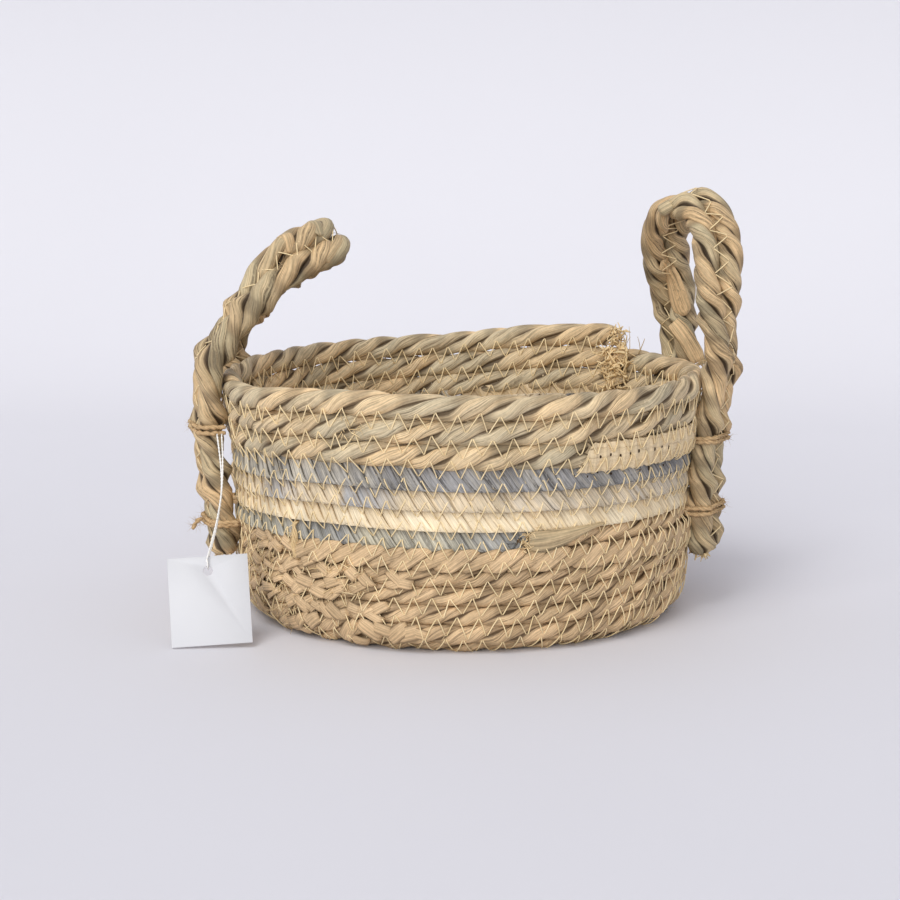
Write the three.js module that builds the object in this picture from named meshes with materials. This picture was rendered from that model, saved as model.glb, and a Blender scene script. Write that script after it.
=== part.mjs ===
// Round market basket of plaited palm leaf with two folding handles.
// One long braid winds out from the middle of the base and climbs the wall.
// Units are millimetres, +Z is up, the origin is the middle of the base on the floor.
// +X points to the right handle and -Y to the front. Both handles sit a little towards the rear.
import * as THREE from 'three';

// Basket body: radii and heights of the middle line of the coiled braid
const eyeRadius = 0.4;
const tuckedStart = 2.2;
const wallRadius = 106.4;
const rimRadius = 113.4;
const baseCornerRadius = 10;
const waistHeight = 44;
const topHeight = 123.4;

// Coiled braid: row pitches, thickness and the open line between rows
const lowerPitch = 9.3;
const upperPitch = 11.5;
const braidThickness = 7.2;
const rowGap = 0.75;
const braidFlatShare = 0.55;

// Coil layout, counted in turns back from the cut end at the rim
const stepsPerTurn = 24;
const endAngle = 45;
const upperTurns = 2;
const pitchChangeTurns = 2;
const fullTurn = 360;
const spliceGap = 0.5;

// Splices where strips of another colour start, in turns back from the cut end
const creamSplice = 2 + 17 / 24;
const darkSplice = 3 + 3 / 24;
const mixedSplice = 4 + 1 / 24;
const paleSplice = 5 + 1 / 24;
const greySplice = 6 + 3 / 24;
const tanSplice = 6 + 16 / 24;
const baseSplice = 13;

// Dip of the rows at the back and left, and the angles between which it fades in and out
const rimDip = 7;
const dipStartAngle = 50;
const dipFullAngle = 105;
const dipFadeAngle = 200;
const dipEndAngle = 245;

// Handle straps: two round braids side by side
const strapBraidWidth = 11.6;
const strapThickness = 12.6;
const strapSeam = 1.1;
const strapFlatShare = 0.5;
const seatClearance = 0.6;
const handleAngle = 7.5;
const legSpread = 15;
const legFootHeight = 28.5;
const legRings = 9;
const hingeAboveRim = 2.6;
const hingeClearance = 0.4;

// Handle loops above the hinge
const leftRise = 71;
const rightRise = 68;
const loopSteps = 44;
const twistStartShare = 0.07;
const twistEndShare = 0.27;
const leftLean = 45;
const rightLean = 5;
const leftSway = 2;
const rightSway = 6;
const leftBow = 1.5;
const rightBow = -2;
const leftFrontStand = 3;
const leftRearStand = 6;
const rightFrontStand = 4;
const rightRearStand = 0;

// Twine ties round each leg
const tieThickness = 2;
const tieHeight = 5;
const tieClearance = 0.7;
const leftUpperTieHeight = 90;
const leftLowerTieHeight = 44;
const rightUpperTieHeight = 85;
const rightLowerTieHeight = 51;

// Hang tag and its thread
const tagWidth = 37;
const tagHeight = 42;
const tagThickness = 0.6;
const tagHoleRadius = 2.2;
const tagHoleInset = 7;
const tagLean = 26;
const tagTurn = 3;
const tagRoll = 3.5;
const tagFoot = [-114.5, -96, 1.4];
const threadDiameter = 1;
const threadSides = 8;
const threadSteps = 60;

// Route of the thread, from the tie down to the card's hole and back
const threadRoute = [
  [-114.9, -30.8, 88.5],
  [-114.1, -36.7, 82.3],
  [-113.5, -42.6, 76.1],
  [-113.2, -48.7, 69.8],
  [-113.3, -54.9, 63.6],
  [-113.9, -61.2, 57.4],
  [-114.9, -67.6, 51.2],
  [-116.3, -74.1, 45.0],
  [-117.8, -80.7, 38.7],
  [-117.6, -81.6, 36.9],
  [-117.5, -81.7, 35.3],
  [-117.5, -80.6, 34.0],
  [-117.6, -78.9, 33.9],
  [-117.8, -77.6, 35.0],
  [-118.0, -76.8, 36.8],
  [-116.3, -70.7, 43.3],
  [-114.9, -64.7, 49.7],
  [-114.0, -58.8, 56.2],
  [-113.5, -53.0, 62.7],
  [-113.7, -47.4, 69.1],
  [-114.5, -41.9, 75.6],
  [-115.7, -36.5, 82.0],
  [-117.1, -31.1, 88.5],
];

// Finishes seen on the leaf, twine, card and thread
const finish = (color, roughness) => new THREE.MeshStandardMaterial({ color, roughness, metalness: 0 });
const tanLeaf = finish(0xcbaf82, 0.75);
const greyLeaf = finish(0xa9a394, 0.75);
const paleLeaf = finish(0xe6d6b0, 0.75);
const mixedLeaf = finish(0xd3c3a0, 0.75);
const darkLeaf = finish(0x85858c, 0.75);
const creamLeaf = finish(0xebd7aa, 0.7);
const twine = finish(0xbe9f76, 0.95);
const card = finish(0xf1efe9, 0.85);
const thread = finish(0xf5f3ee, 0.9);

const basket = new THREE.Group();
basket.name = 'palm_leaf_basket';

// Shared helpers for angles, blends and closed tubes
const radians = THREE.MathUtils.degToRad;

function smoothShare(from, to, value) {
  const share = Math.min(1, Math.max(0, (value - from) / (to - from)));
  return share * share * (3 - 2 * share);
}

function signedVolume(corners, triangles) {
  let volume = 0;
  for (let i = 0; i < triangles.length; i += 3) {
    const [a, b, c] = [0, 1, 2].map((k) => corners[triangles[i + k]]);
    volume += a.dot(new THREE.Vector3().crossVectors(b, c)) / 6;
  }
  return volume;
}

// Joins rings of points to one closed tube with flat ends and outward faces
function tubeThrough(rings) {
  const sides = rings[0].length;
  const corners = rings.flat();
  const triangles = [];
  for (let i = 0; i + 1 < rings.length; i += 1) {
    for (let j = 0; j < sides; j += 1) {
      const next = (j + 1) % sides;
      const [a, b] = [i * sides + j, i * sides + next];
      triangles.push(a, b, b + sides, a, b + sides, a + sides);
    }
  }
  const last = (rings.length - 1) * sides;
  for (let j = 1; j + 1 < sides; j += 1) {
    triangles.push(0, j + 1, j);
    triangles.push(last, last + j, last + j + 1);
  }
  if (signedVolume(corners, triangles) < 0) triangles.reverse();
  const geometry = new THREE.BufferGeometry();
  const places = new Float32Array(corners.flatMap((corner) => corner.toArray()));
  geometry.setAttribute('position', new THREE.BufferAttribute(places, 3));
  geometry.setIndex(triangles);
  geometry.computeVertexNormals();
  return geometry;
}

function addPiece(name, geometry, material, parent = basket) {
  const mesh = new THREE.Mesh(geometry, material);
  mesh.name = name;
  parent.add(mesh);
  return mesh;
}

// Line that the coil follows from the middle of the base to the rim, as radius and height
const profile = new THREE.Path();
const baseHeight = braidThickness / 2;
profile.moveTo(-tuckedStart, baseHeight);
profile.lineTo(wallRadius - baseCornerRadius, baseHeight);
profile.absarc(
  wallRadius - baseCornerRadius,
  baseHeight + baseCornerRadius,
  baseCornerRadius,
  -Math.PI / 2,
  0,
  false,
);
profile.lineTo(wallRadius, waistHeight);
profile.quadraticCurveTo(wallRadius, (waistHeight + topHeight) / 2, rimRadius, topHeight);
const profileLength = profile.getLength();

// Length along the profile, from its start, that the coil has reached at a number of turns from its end
function profilePlace(turns) {
  const growth = (upperPitch - lowerPitch) / pitchChangeTurns;
  const changing = Math.min(pitchChangeTurns, Math.max(0, turns - upperTurns));
  const below = Math.max(0, turns - upperTurns - pitchChangeTurns);
  const above = Math.min(turns, upperTurns);
  const climbed = above * upperPitch + changing * (upperPitch - (growth * changing) / 2) + below * lowerPitch;
  return profileLength - climbed;
}

function rowPitch(turns) {
  const share = Math.min(1, Math.max(0, (turns - upperTurns) / pitchChangeTurns));
  return THREE.MathUtils.lerp(upperPitch, lowerPitch, share);
}

function coilAngle(turns) {
  return endAngle + fullTurn * turns;
}

// Share of its height that a point of the wall loses where the rim dips
function dipAt(angle) {
  const around = ((angle % fullTurn) + fullTurn) % fullTurn;
  const fadeIn = smoothShare(dipStartAngle, dipFullAngle, around);
  const fadeOut = smoothShare(dipFadeAngle, dipEndAngle, around);
  return (rimDip / topHeight) * (fadeIn - fadeOut);
}

// Flattened section of the braid: across the row and through its thickness, in half sizes
const braidSection = [
  [1, 0],
  [braidFlatShare, 1],
  [-braidFlatShare, 1],
  [-1, 0],
  [-braidFlatShare, -1],
  [braidFlatShare, -1],
];

function profileFrame(turns) {
  const share = Math.min(1, Math.max(0, profilePlace(turns) / profileLength));
  const place = profile.getPoint(share);
  const along = profile.getTangent(share);
  return { place, along };
}

// Ring of points round the braid, narrowed where it starts in the eye of the base and flat on the floor
function coilRing(turns) {
  const { place, along } = profileFrame(turns);
  const fullHalf = (rowPitch(turns) - rowGap) / 2;
  const narrowed = Math.max(0, eyeRadius + fullHalf - place.x);
  const halfRow = fullHalf - narrowed / 2;
  const middle = place.x + narrowed / 2;
  const angle = radians(coilAngle(turns));
  const dip = dipAt(coilAngle(turns));
  return braidSection.map(([across, through]) => {
    const radius = middle + across * halfRow * along.x + (through * braidThickness * along.y) / 2;
    const height = place.y + across * halfRow * along.y - (through * braidThickness * along.x) / 2;
    const onFloor = Math.max(0, height * (1 - dip));
    return new THREE.Vector3(radius * Math.cos(angle), radius * Math.sin(angle), onFloor);
  });
}

// Total number of turns, ending on a whole step near the middle of the base
const turnsBelow = profilePlace(upperTurns + pitchChangeTurns) / lowerPitch;
const wholeSteps = Math.floor((upperTurns + pitchChangeTurns + turnsBelow) * stepsPerTurn);
const totalTurns = wholeSteps / stepsPerTurn;

function coilPiece(from, to) {
  const firstStep = Math.round(from * stepsPerTurn);
  const lastStep = Math.round(to * stepsPerTurn);
  const rings = [];
  for (let step = firstStep; step <= lastStep; step += 1) {
    const turns = step / stepsPerTurn;
    const trim = spliceGap / 2 / (2 * Math.PI * Math.max(wallRadius / 2, profileFrame(turns).place.x));
    let shift = 0;
    if (step === firstStep && step > 0) shift = trim;
    if (step === lastStep && step < wholeSteps) shift = -trim;
    rings.push(coilRing(turns + shift));
  }
  return rings;
}

const coilPieces = [
  ['base_coil', baseSplice, totalTurns, tanLeaf],
  ['lower_wall_braid', tanSplice, baseSplice, tanLeaf],
  ['grey_braid', greySplice, tanSplice, greyLeaf],
  ['pale_braid', paleSplice, greySplice, paleLeaf],
  ['mixed_braid', mixedSplice, paleSplice, mixedLeaf],
  ['dark_braid', darkSplice, mixedSplice, darkLeaf],
  ['cream_braid', creamSplice, darkSplice, creamLeaf],
  ['rim_braid', 0, creamSplice, tanLeaf],
];
let leastRowGap = Infinity;
for (const [name, from, to, material] of coilPieces) {
  addPiece(name, tubeThrough(coilPiece(from, to)), material);
}

// Least gap between one row and the next, measured on the points of their facing edges
for (let step = 0; step + stepsPerTurn <= wholeSteps; step += 1) {
  const upper = coilRing(step / stepsPerTurn);
  const lower = coilRing(step / stepsPerTurn + 1);
  for (const a of upper) {
    for (const b of lower) leastRowGap = Math.min(leastRowGap, a.distanceTo(b));
  }
}
console.log(`coil turns ${totalTurns.toFixed(3)}, least gap between rows ${leastRowGap.toFixed(3)} mm`);

// Outer radius of the wall at a height and angle in degrees, on the middle of a facet of the coil
const facetShare = Math.cos(Math.PI / stepsPerTurn);
const wallFoot = baseHeight + baseCornerRadius;
const wallPoints = profile.getPoints(stepsPerTurn * 4).filter((point) => point.y >= wallFoot);

function wallOuter(heightThere, angle) {
  const height = heightThere / (1 - dipAt(angle));
  let radius = rimRadius;
  for (let i = 0; i + 1 < wallPoints.length; i += 1) {
    const [low, high] = [wallPoints[i], wallPoints[i + 1]];
    if (height >= low.y && height <= high.y && high.y > low.y) {
      radius = THREE.MathUtils.lerp(low.x, high.x, (height - low.y) / (high.y - low.y));
    }
  }
  return (radius + braidThickness / 2) * facetShare;
}

// Handle straps: each is an inner and an outer braid sewn side by side
const braidOffset = (strapBraidWidth + strapSeam) / 2;
const strapSection = [
  [1, strapFlatShare],
  [strapFlatShare, 1],
  [-strapFlatShare, 1],
  [-1, strapFlatShare],
  [-1, -strapFlatShare],
  [-strapFlatShare, -1],
  [strapFlatShare, -1],
  [1, -strapFlatShare],
];

function strapRing(centre, across, through, thicknessShare = 1) {
  return strapSection.map(([a, b]) => centre
    .clone()
    .addScaledVector(across, (a * strapBraidWidth) / 2)
    .addScaledVector(through, (b * thicknessShare * strapThickness) / 2));
}

const hingeHeight = topHeight + hingeAboveRim;
const legTop = hingeHeight - strapThickness / 2 - hingeClearance;

// Place of a leg's middle line: on the wall up to its upper tie, then standing out towards the hinge
function legPoint(leg, height) {
  const outward = new THREE.Vector3(Math.cos(radians(leg.angle)), Math.sin(radians(leg.angle)), 0);
  const standing = leg.stand * smoothShare(leg.tiedHeight, legTop, height);
  const radius = wallOuter(Math.min(height, topHeight), leg.angle) + seatClearance + strapThickness / 2;
  return outward.multiplyScalar(radius + standing);
}

// One leg braid, turned to face outwards at the angle of its leg
function legBraidRings(leg, offset) {
  const outward = new THREE.Vector3(Math.cos(radians(leg.angle)), Math.sin(radians(leg.angle)), 0);
  const sideways = new THREE.Vector3(-outward.y, outward.x, 0);
  const rings = [];
  for (let i = 0; i <= legRings; i += 1) {
    const height = THREE.MathUtils.lerp(legFootHeight, legTop, i / legRings);
    const centre = legPoint(leg, height).addScaledVector(sideways, offset);
    centre.z = height;
    rings.push(strapRing(centre, sideways, outward));
  }
  return rings;
}

// Round knuckle below the hinge axis, so that the loop turns clear of its legs
const knuckleAngles = [80, 60, 30];

function knuckle(centre, across, through) {
  return knuckleAngles.map((angle) => {
    const place = centre.clone();
    place.z -= (strapThickness / 2) * Math.sin(radians(angle));
    return strapRing(place, across, through, Math.cos(radians(angle)));
  });
}

// One loop braid rises from the front leg, over the top and down to the rear leg, about the hinge's middle
function loopRings(handle, halfSpan, offset) {
  const outward = new THREE.Vector3(handle.side, 0, 0);
  const rings = [];
  for (let i = 0; i <= loopSteps; i += 1) {
    const share = i / loopSteps;
    const turn = Math.PI * share;
    const swing = handle.sway * Math.sin(2 * turn) * Math.sin(turn);
    const bulge = 4 * handle.bow * Math.sin(turn) * (1 - Math.sin(turn));
    const standOff = handle.side * (swing + bulge);
    const centre = new THREE.Vector3(standOff, -halfSpan * Math.cos(turn), handle.rise * Math.sin(turn));
    const along = new THREE.Vector3(0, halfSpan * Math.sin(turn), handle.rise * Math.cos(turn)).normalize();
    const inward = new THREE.Vector3(0, along.z, -along.y);
    const fromEnd = Math.min(share, 1 - share);
    const twist = (Math.PI / 2) * smoothShare(twistStartShare, twistEndShare, fromEnd);
    const across = inward.clone().multiplyScalar(Math.cos(twist)).addScaledVector(outward, Math.sin(twist));
    const through = new THREE.Vector3().crossVectors(along, across);
    centre.addScaledVector(across, offset);
    rings.push(strapRing(centre, across, through));
  }
  const firstEnd = new THREE.Vector3(0, offset - halfSpan, 0);
  const lastEnd = new THREE.Vector3(0, halfSpan - offset, 0);
  const front = new THREE.Vector3(0, 1, 0);
  const rear = new THREE.Vector3(0, -1, 0);
  const first = knuckle(firstEnd, front, new THREE.Vector3().crossVectors(new THREE.Vector3(0, 0, 1), front));
  const last = knuckle(lastEnd, rear, new THREE.Vector3().crossVectors(new THREE.Vector3(0, 0, -1), rear));
  return [...first, ...rings, ...last.reverse()];
}

// Band of twine round a leg, open towards the wall that it is sewn through
function tieOutline() {
  const inner = strapBraidWidth + strapSeam / 2 + tieClearance;
  const outer = inner + tieThickness;
  const reach = strapThickness + seatClearance + tieClearance;
  const outline = new THREE.Shape();
  outline.moveTo(tieClearance, -outer);
  outline.lineTo(reach, -outer);
  outline.lineTo(reach + tieThickness, -inner);
  outline.lineTo(reach + tieThickness, inner);
  outline.lineTo(reach, outer);
  outline.lineTo(tieClearance, outer);
  outline.lineTo(tieClearance, inner);
  outline.lineTo(reach - tieThickness / 2, inner);
  outline.lineTo(reach, inner - tieThickness);
  outline.lineTo(reach, tieThickness - inner);
  outline.lineTo(reach - tieThickness / 2, -inner);
  outline.lineTo(tieClearance, -inner);
  return outline;
}

function addTie(name, angle, height) {
  const geometry = new THREE.ExtrudeGeometry(tieOutline(), { depth: tieHeight, bevelEnabled: false });
  const tie = addPiece(name, geometry, twine);
  const radius = wallOuter(height + tieHeight / 2, angle);
  const turned = radians(angle);
  tie.rotation.z = turned;
  tie.position.set(radius * Math.cos(turned), radius * Math.sin(turned), height - tieHeight / 2);
}

const handles = [
  {
    name: 'left',
    side: -1,
    rise: leftRise,
    lean: leftLean,
    sway: leftSway,
    bow: leftBow,
    stands: [leftFrontStand, leftRearStand],
    tieHeights: [leftUpperTieHeight, leftLowerTieHeight],
  },
  {
    name: 'right',
    side: 1,
    rise: rightRise,
    lean: rightLean,
    sway: rightSway,
    bow: rightBow,
    stands: [rightFrontStand, rightRearStand],
    tieHeights: [rightUpperTieHeight, rightLowerTieHeight],
  },
];

function addLeg(handle, legName, toRear, stand) {
  const middle = handle.side > 0 ? handleAngle : fullTurn / 2 - handleAngle;
  const [upperTie, lowerTie] = handle.tieHeights;
  const leg = { angle: middle + handle.side * toRear * legSpread, stand, tiedHeight: upperTie + tieHeight };
  const towardsMiddle = -toRear * handle.side;
  const legPlace = `${handle.name}_${legName}`;
  for (const [braidName, offset] of [['inner', braidOffset], ['outer', -braidOffset]]) {
    const rings = legBraidRings(leg, towardsMiddle * offset);
    addPiece(`${legPlace}_leg_${braidName}_braid`, tubeThrough(rings), tanLeaf);
  }
  addTie(`${legPlace}_upper_tie`, leg.angle, upperTie);
  addTie(`${legPlace}_lower_tie`, leg.angle, lowerTie);
  return legPoint(leg, legTop);
}

for (const handle of handles) {
  const front = addLeg(handle, 'front', -1, handle.stands[0]);
  const rear = addLeg(handle, 'rear', 1, handle.stands[1]);
  const pivot = new THREE.Group();
  pivot.position.addVectors(front, rear).multiplyScalar(1 / 2);
  pivot.position.z = hingeHeight;
  const heading = Math.atan2(front.x - rear.x, rear.y - front.y);
  pivot.rotation.set(0, -handle.side * radians(handle.lean), heading, 'ZYX');
  basket.add(pivot);
  for (const [braidName, offset] of [['inner', braidOffset], ['outer', -braidOffset]]) {
    const rings = loopRings(handle, front.distanceTo(rear) / 2, offset);
    addPiece(`${handle.name}_loop_${braidName}_braid`, tubeThrough(rings), tanLeaf, pivot);
  }
  const place = pivot.position.toArray().map((value) => value.toFixed(2)).join(', ');
  const turned = THREE.MathUtils.radToDeg(heading).toFixed(3);
  console.log(`${handle.name} hinge at ${place}, turned ${turned} degrees`);
}

// Blank card with a punched hole, standing on the floor and leaning back on its thread
const cardOutline = new THREE.Shape();
cardOutline.moveTo(-tagWidth / 2, 0);
cardOutline.lineTo(tagWidth / 2, 0);
cardOutline.lineTo(tagWidth / 2, tagHeight);
cardOutline.lineTo(-tagWidth / 2, tagHeight);
const punch = new THREE.Path();
punch.absarc(0, tagHeight - tagHoleInset, tagHoleRadius, 0, 2 * Math.PI, true);
cardOutline.holes.push(punch);
const cardGeometry = new THREE.ExtrudeGeometry(cardOutline, {
  depth: tagThickness,
  bevelEnabled: false,
  curveSegments: 6,
});
cardGeometry.rotateZ(radians(tagRoll));
const swingTag = addPiece('swing_tag', cardGeometry, card);
swingTag.position.set(...tagFoot);
swingTag.rotation.set(Math.PI / 2 - radians(tagLean), 0, radians(tagTurn), 'ZXY');

// Thin thread through the hole and up to the twine tie
const threadCurve = new THREE.CatmullRomCurve3(threadRoute.map((point) => new THREE.Vector3(...point)));
const threadSection = new THREE.Shape();
threadSection.absarc(0, 0, threadDiameter / 2, 0, 2 * Math.PI, false);
const threadGeometry = new THREE.ExtrudeGeometry(threadSection, {
  steps: threadSteps,
  curveSegments: threadSides,
  bevelEnabled: false,
  extrudePath: threadCurve,
});
addPiece('tag_thread', threadGeometry, thread);

export default basket;
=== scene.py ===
# %% [markdown]
# # A palm leaf basket with two folding handles
# The basket is one long rope of palm leaf, wound into rows and sewn row to row with a zigzag of thread.
# The tan rows are three twisted strands and the coloured rows are flat plaits. Each handle is two ropes
# sewn side by side and tied on with fuzzy twine.
# The imported CAD model gives every place and size, and the cells below dress it piece by piece.

# %% Load the frame
import math

import bpy
import numpy as np
from mathutils import Matrix, Vector


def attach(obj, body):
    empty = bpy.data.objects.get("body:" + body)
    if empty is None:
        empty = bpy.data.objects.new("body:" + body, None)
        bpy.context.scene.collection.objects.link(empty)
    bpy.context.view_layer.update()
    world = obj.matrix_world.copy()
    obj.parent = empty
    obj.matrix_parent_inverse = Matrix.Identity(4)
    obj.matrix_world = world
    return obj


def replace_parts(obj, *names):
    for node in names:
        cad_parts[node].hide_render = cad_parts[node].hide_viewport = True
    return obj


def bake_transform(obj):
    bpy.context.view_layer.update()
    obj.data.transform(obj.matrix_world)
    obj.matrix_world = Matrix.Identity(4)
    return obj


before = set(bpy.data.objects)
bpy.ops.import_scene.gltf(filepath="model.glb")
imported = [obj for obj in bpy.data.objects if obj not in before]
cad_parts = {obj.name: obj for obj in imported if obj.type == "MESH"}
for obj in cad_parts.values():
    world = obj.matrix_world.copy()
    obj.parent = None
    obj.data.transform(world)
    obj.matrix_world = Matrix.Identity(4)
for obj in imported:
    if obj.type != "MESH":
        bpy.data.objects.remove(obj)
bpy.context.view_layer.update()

# %% [markdown]
# ## Camera
# The picture looks at the front of the basket from a little above, with a long lens, so the rim shows
# as a narrow ellipse. The camera stands about 1.26 m away and looks down by about ten degrees.

# %% Place the camera
camera_place = (0.0, -1.2596, 0.2946)
camera_pitch = math.radians(9.866)
camera_turn = math.radians(0.286)
camera_lens = 104.68
camera_sensor = 36

bpy.ops.object.select_all(action="DESELECT")
bpy.ops.object.camera_add(location=camera_place, rotation=(math.pi / 2 - camera_pitch, 0, camera_turn))
camera = bpy.context.object
camera.data.lens = camera_lens
camera.data.sensor_width = camera_sensor
bpy.context.scene.camera = camera
print("camera", camera.name, "lens", camera.data.lens)

# %% [markdown]
# ## Meshes from rings
# Plaited leaf, thread and twine are all long bodies swept along a path, so one helper takes a list of
# tubes, each an array of rings of points, and joins them into one mesh. It closes both ends, turns the
# faces outwards, and stores how far along and around each point lies, for the fibres of the material,
# and how deep each point lies in a groove, for painted shade.

# %% Helpers that sweep tubes into a mesh
grain_scale = 100


def unit(vectors):
    return vectors / np.maximum(np.linalg.norm(vectors, axis=-1, keepdims=True), 1e-12)


def along_path(points):
    return unit(np.gradient(points, axis=0))


def path_lengths(points):
    steps = np.linalg.norm(np.diff(points, axis=0), axis=1)
    return np.concatenate([[0], np.cumsum(steps)])


def tube_volume(rings):
    a, b = rings[:-1], np.roll(rings[:-1], -1, axis=1)
    c = np.roll(rings[1:], -1, axis=1)
    return float(np.sum(a * np.cross(b, c)))


class Tubes:
    """Collects swept tubes and turns them into one mesh object."""

    def __init__(self):
        self.corners, self.loops, self.starts, self.grain = [], [], [], []
        self.tones, self.shade_depths = [], []
        self.corner_count = 0
        self.loop_count = 0

    def add(self, rings, tones, offset=0.0, shade_depths=0.0):
        count, sides = rings.shape[:2]
        centre = rings.mean(axis=(0, 1))
        turned = tube_volume(rings - centre) < 0
        around = np.linalg.norm(rings - np.roll(rings, 1, axis=1), axis=2).mean(axis=0)
        place_around = np.concatenate([np.cumsum(around) - around[0], [around.sum()]]) * grain_scale
        place_along = (path_lengths(rings.mean(axis=1)) + offset) * grain_scale
        i, j = np.meshgrid(np.arange(count - 1), np.arange(sides), indexing="ij")
        after = (j + 1) % sides
        quads = np.stack([i * sides + j, i * sides + after, (i + 1) * sides + after, (i + 1) * sides + j], -1)
        u = np.stack([place_around[j], place_around[j + 1], place_around[j + 1], place_around[j]], -1)
        v = np.stack([place_along[i], place_along[i], place_along[i + 1], place_along[i + 1]], -1)
        quads, u, v = quads.reshape(-1, 4), u.reshape(-1, 4), v.reshape(-1, 4)
        caps = np.stack([np.arange(sides)[::-1], (count - 1) * sides + np.arange(sides)])
        if turned:
            quads, u, v, caps = quads[:, ::-1], u[:, ::-1], v[:, ::-1], caps[:, ::-1]
        cap_u = np.tile(place_around[:sides], (2, 1))
        cap_v = np.tile(place_along[[0, -1]][:, None], (1, sides))
        self.corners.append(rings.reshape(-1, 3))
        self.loops.append(np.concatenate([quads.ravel(), caps.ravel()]) + self.corner_count)
        lengths = np.concatenate([np.full(len(quads), 4), [sides, sides]])
        self.starts.append(np.cumsum(lengths) - lengths + self.loop_count)
        self.tones.append(np.repeat(np.broadcast_to(tones, (count,)), sides))
        self.shade_depths.append(np.broadcast_to(shade_depths, (count, sides)).ravel())
        grain_u = np.concatenate([u.ravel(), cap_u.ravel()])
        grain_v = np.concatenate([v.ravel(), cap_v.ravel()])
        self.grain.append(np.stack([grain_u, grain_v], -1))
        self.corner_count += count * sides
        self.loop_count += int(lengths.sum())

    def to_object(self, name, material, body=None, slot=None):
        mesh = bpy.data.meshes.new(name)
        corners = np.concatenate(self.corners)
        loops = np.concatenate(self.loops)
        starts = np.concatenate(self.starts)
        mesh.vertices.add(len(corners))
        mesh.vertices.foreach_set("co", corners.astype(np.float32).ravel())
        mesh.loops.add(len(loops))
        mesh.loops.foreach_set("vertex_index", loops.astype(np.int32))
        mesh.polygons.add(len(starts))
        mesh.polygons.foreach_set("loop_start", starts.astype(np.int32))
        mesh.update(calc_edges=True)
        grain = mesh.uv_layers.new(name="grain")
        grain.data.foreach_set("uv", np.concatenate(self.grain).astype(np.float32).ravel())
        # The second attribute carries painted shade: how deep each point lies in a groove, which the leaf material
        # darkens.
        for label, values in (("leaf_tone", self.tones), ("groove_shade_depth", self.shade_depths)):
            attribute = mesh.attributes.new(label, "FLOAT", "POINT")
            attribute.data.foreach_set("value", np.concatenate(values).astype(np.float32))
        mesh.polygons.foreach_set("use_smooth", np.ones(len(starts), dtype=bool))
        mesh.materials.append(material)
        piece = bpy.data.objects.new(name, mesh)
        bpy.context.scene.collection.objects.link(piece)
        if body:
            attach(piece, body)
        print(name, "has", len(starts), "faces")
        return piece


def round_rings(points, radius, sides, normal=None):
    """Rings of a round tube. The radius may change along the path."""
    forward = along_path(points)
    guide = np.broadcast_to(np.array(normal if normal is not None else (0.0, 0.0, 1.0)), points.shape)
    aside = unit(np.cross(forward, guide) + 1e-9)
    upward = np.cross(aside, forward)
    turn = 2 * math.pi * np.arange(sides) / sides
    radius = np.broadcast_to(radius, (len(points),))[:, None, None]
    ring = np.cos(turn)[None, :, None] * aside[:, None] + np.sin(turn)[None, :, None] * upward[:, None]
    return points[:, None] + radius * ring


def smooth_share(start, end, value):
    share = np.clip((np.asarray(value, float) - start) / (end - start), 0, 1)
    return share * share * (3 - 2 * share)


def wander(place, seed, wavelength):
    """A smooth unhurried wave between about -1 and 1 that never quite repeats."""
    draw = np.random.default_rng(int(seed))
    total = 0
    for share in (1.0, 0.61, 0.37):
        total = total + np.sin(2 * math.pi * place / (wavelength * share) + draw.uniform(0, 2 * math.pi))
    return total / 2.2


print("tube helpers are ready")

# %% [markdown]
# ## Leaf, thread, twine and card
# Dried palm leaf is a fibrous strip: fine streaks run along it, it is blotched where it dried unevenly,
# and small cracks are darker. One node group draws these along the strip, and each finish of leaf sets
# its own colours. Two tones are mixed by a value that each strand carries, because no two strips match.
# The same group paints shade into the grooves between strands, by how deep each point lies in a groove.

# %% Node helpers
def node_group(name, inputs, outputs):
    group = bpy.data.node_groups.new(name, "ShaderNodeTree")
    for label, kind, value in inputs:
        socket = group.interface.new_socket(label, in_out="INPUT", socket_type=kind)
        socket.default_value = value
    for label, kind in outputs:
        group.interface.new_socket(label, in_out="OUTPUT", socket_type=kind)
    return group, group.nodes.new("NodeGroupInput"), group.nodes.new("NodeGroupOutput")


def add_node(tree, kind, links=(), **values):
    """Adds a node, sets its values and sockets, and links sockets to it by number or name."""
    node = tree.nodes.new(kind)
    for key, value in values.items():
        setattr(node, key, value)
    for socket, source in links:
        if isinstance(source, (int, float, tuple)):
            node.inputs[socket].default_value = source
        else:
            tree.links.new(source, node.inputs[socket])
    return node


def maths(tree, operation, a, b=0.0, clamp=False):
    node = add_node(tree, "ShaderNodeMath", [(0, a), (1, b)], operation=operation, use_clamp=clamp)
    return node.outputs[0]


def mix_colour(tree, share, a, b, blend="MIX"):
    links = [(0, share), (6, a), (7, b)]
    return add_node(tree, "ShaderNodeMix", links, data_type="RGBA", blend_type=blend).outputs[2]


def ramp(tree, value, low, high):
    return add_node(tree, "ShaderNodeMapRange", [(0, value), (1, low), (2, high)]).outputs[0]


def new_material(name, roughness):
    """A material with nodes, its tree and its main shader."""
    material = bpy.data.materials.new(name)
    material.use_nodes = True
    shader = material.node_tree.nodes["Principled BSDF"]
    shader.inputs["Roughness"].default_value = roughness
    return material, material.node_tree, shader


def from_srgb(red, green, blue):
    def linear(value):
        value = value / 255
        return value / 12.92 if value <= 0.04045 else ((value + 0.055) / 1.055) ** 2.4
    return (linear(red), linear(green), linear(blue), 1.0)


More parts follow.
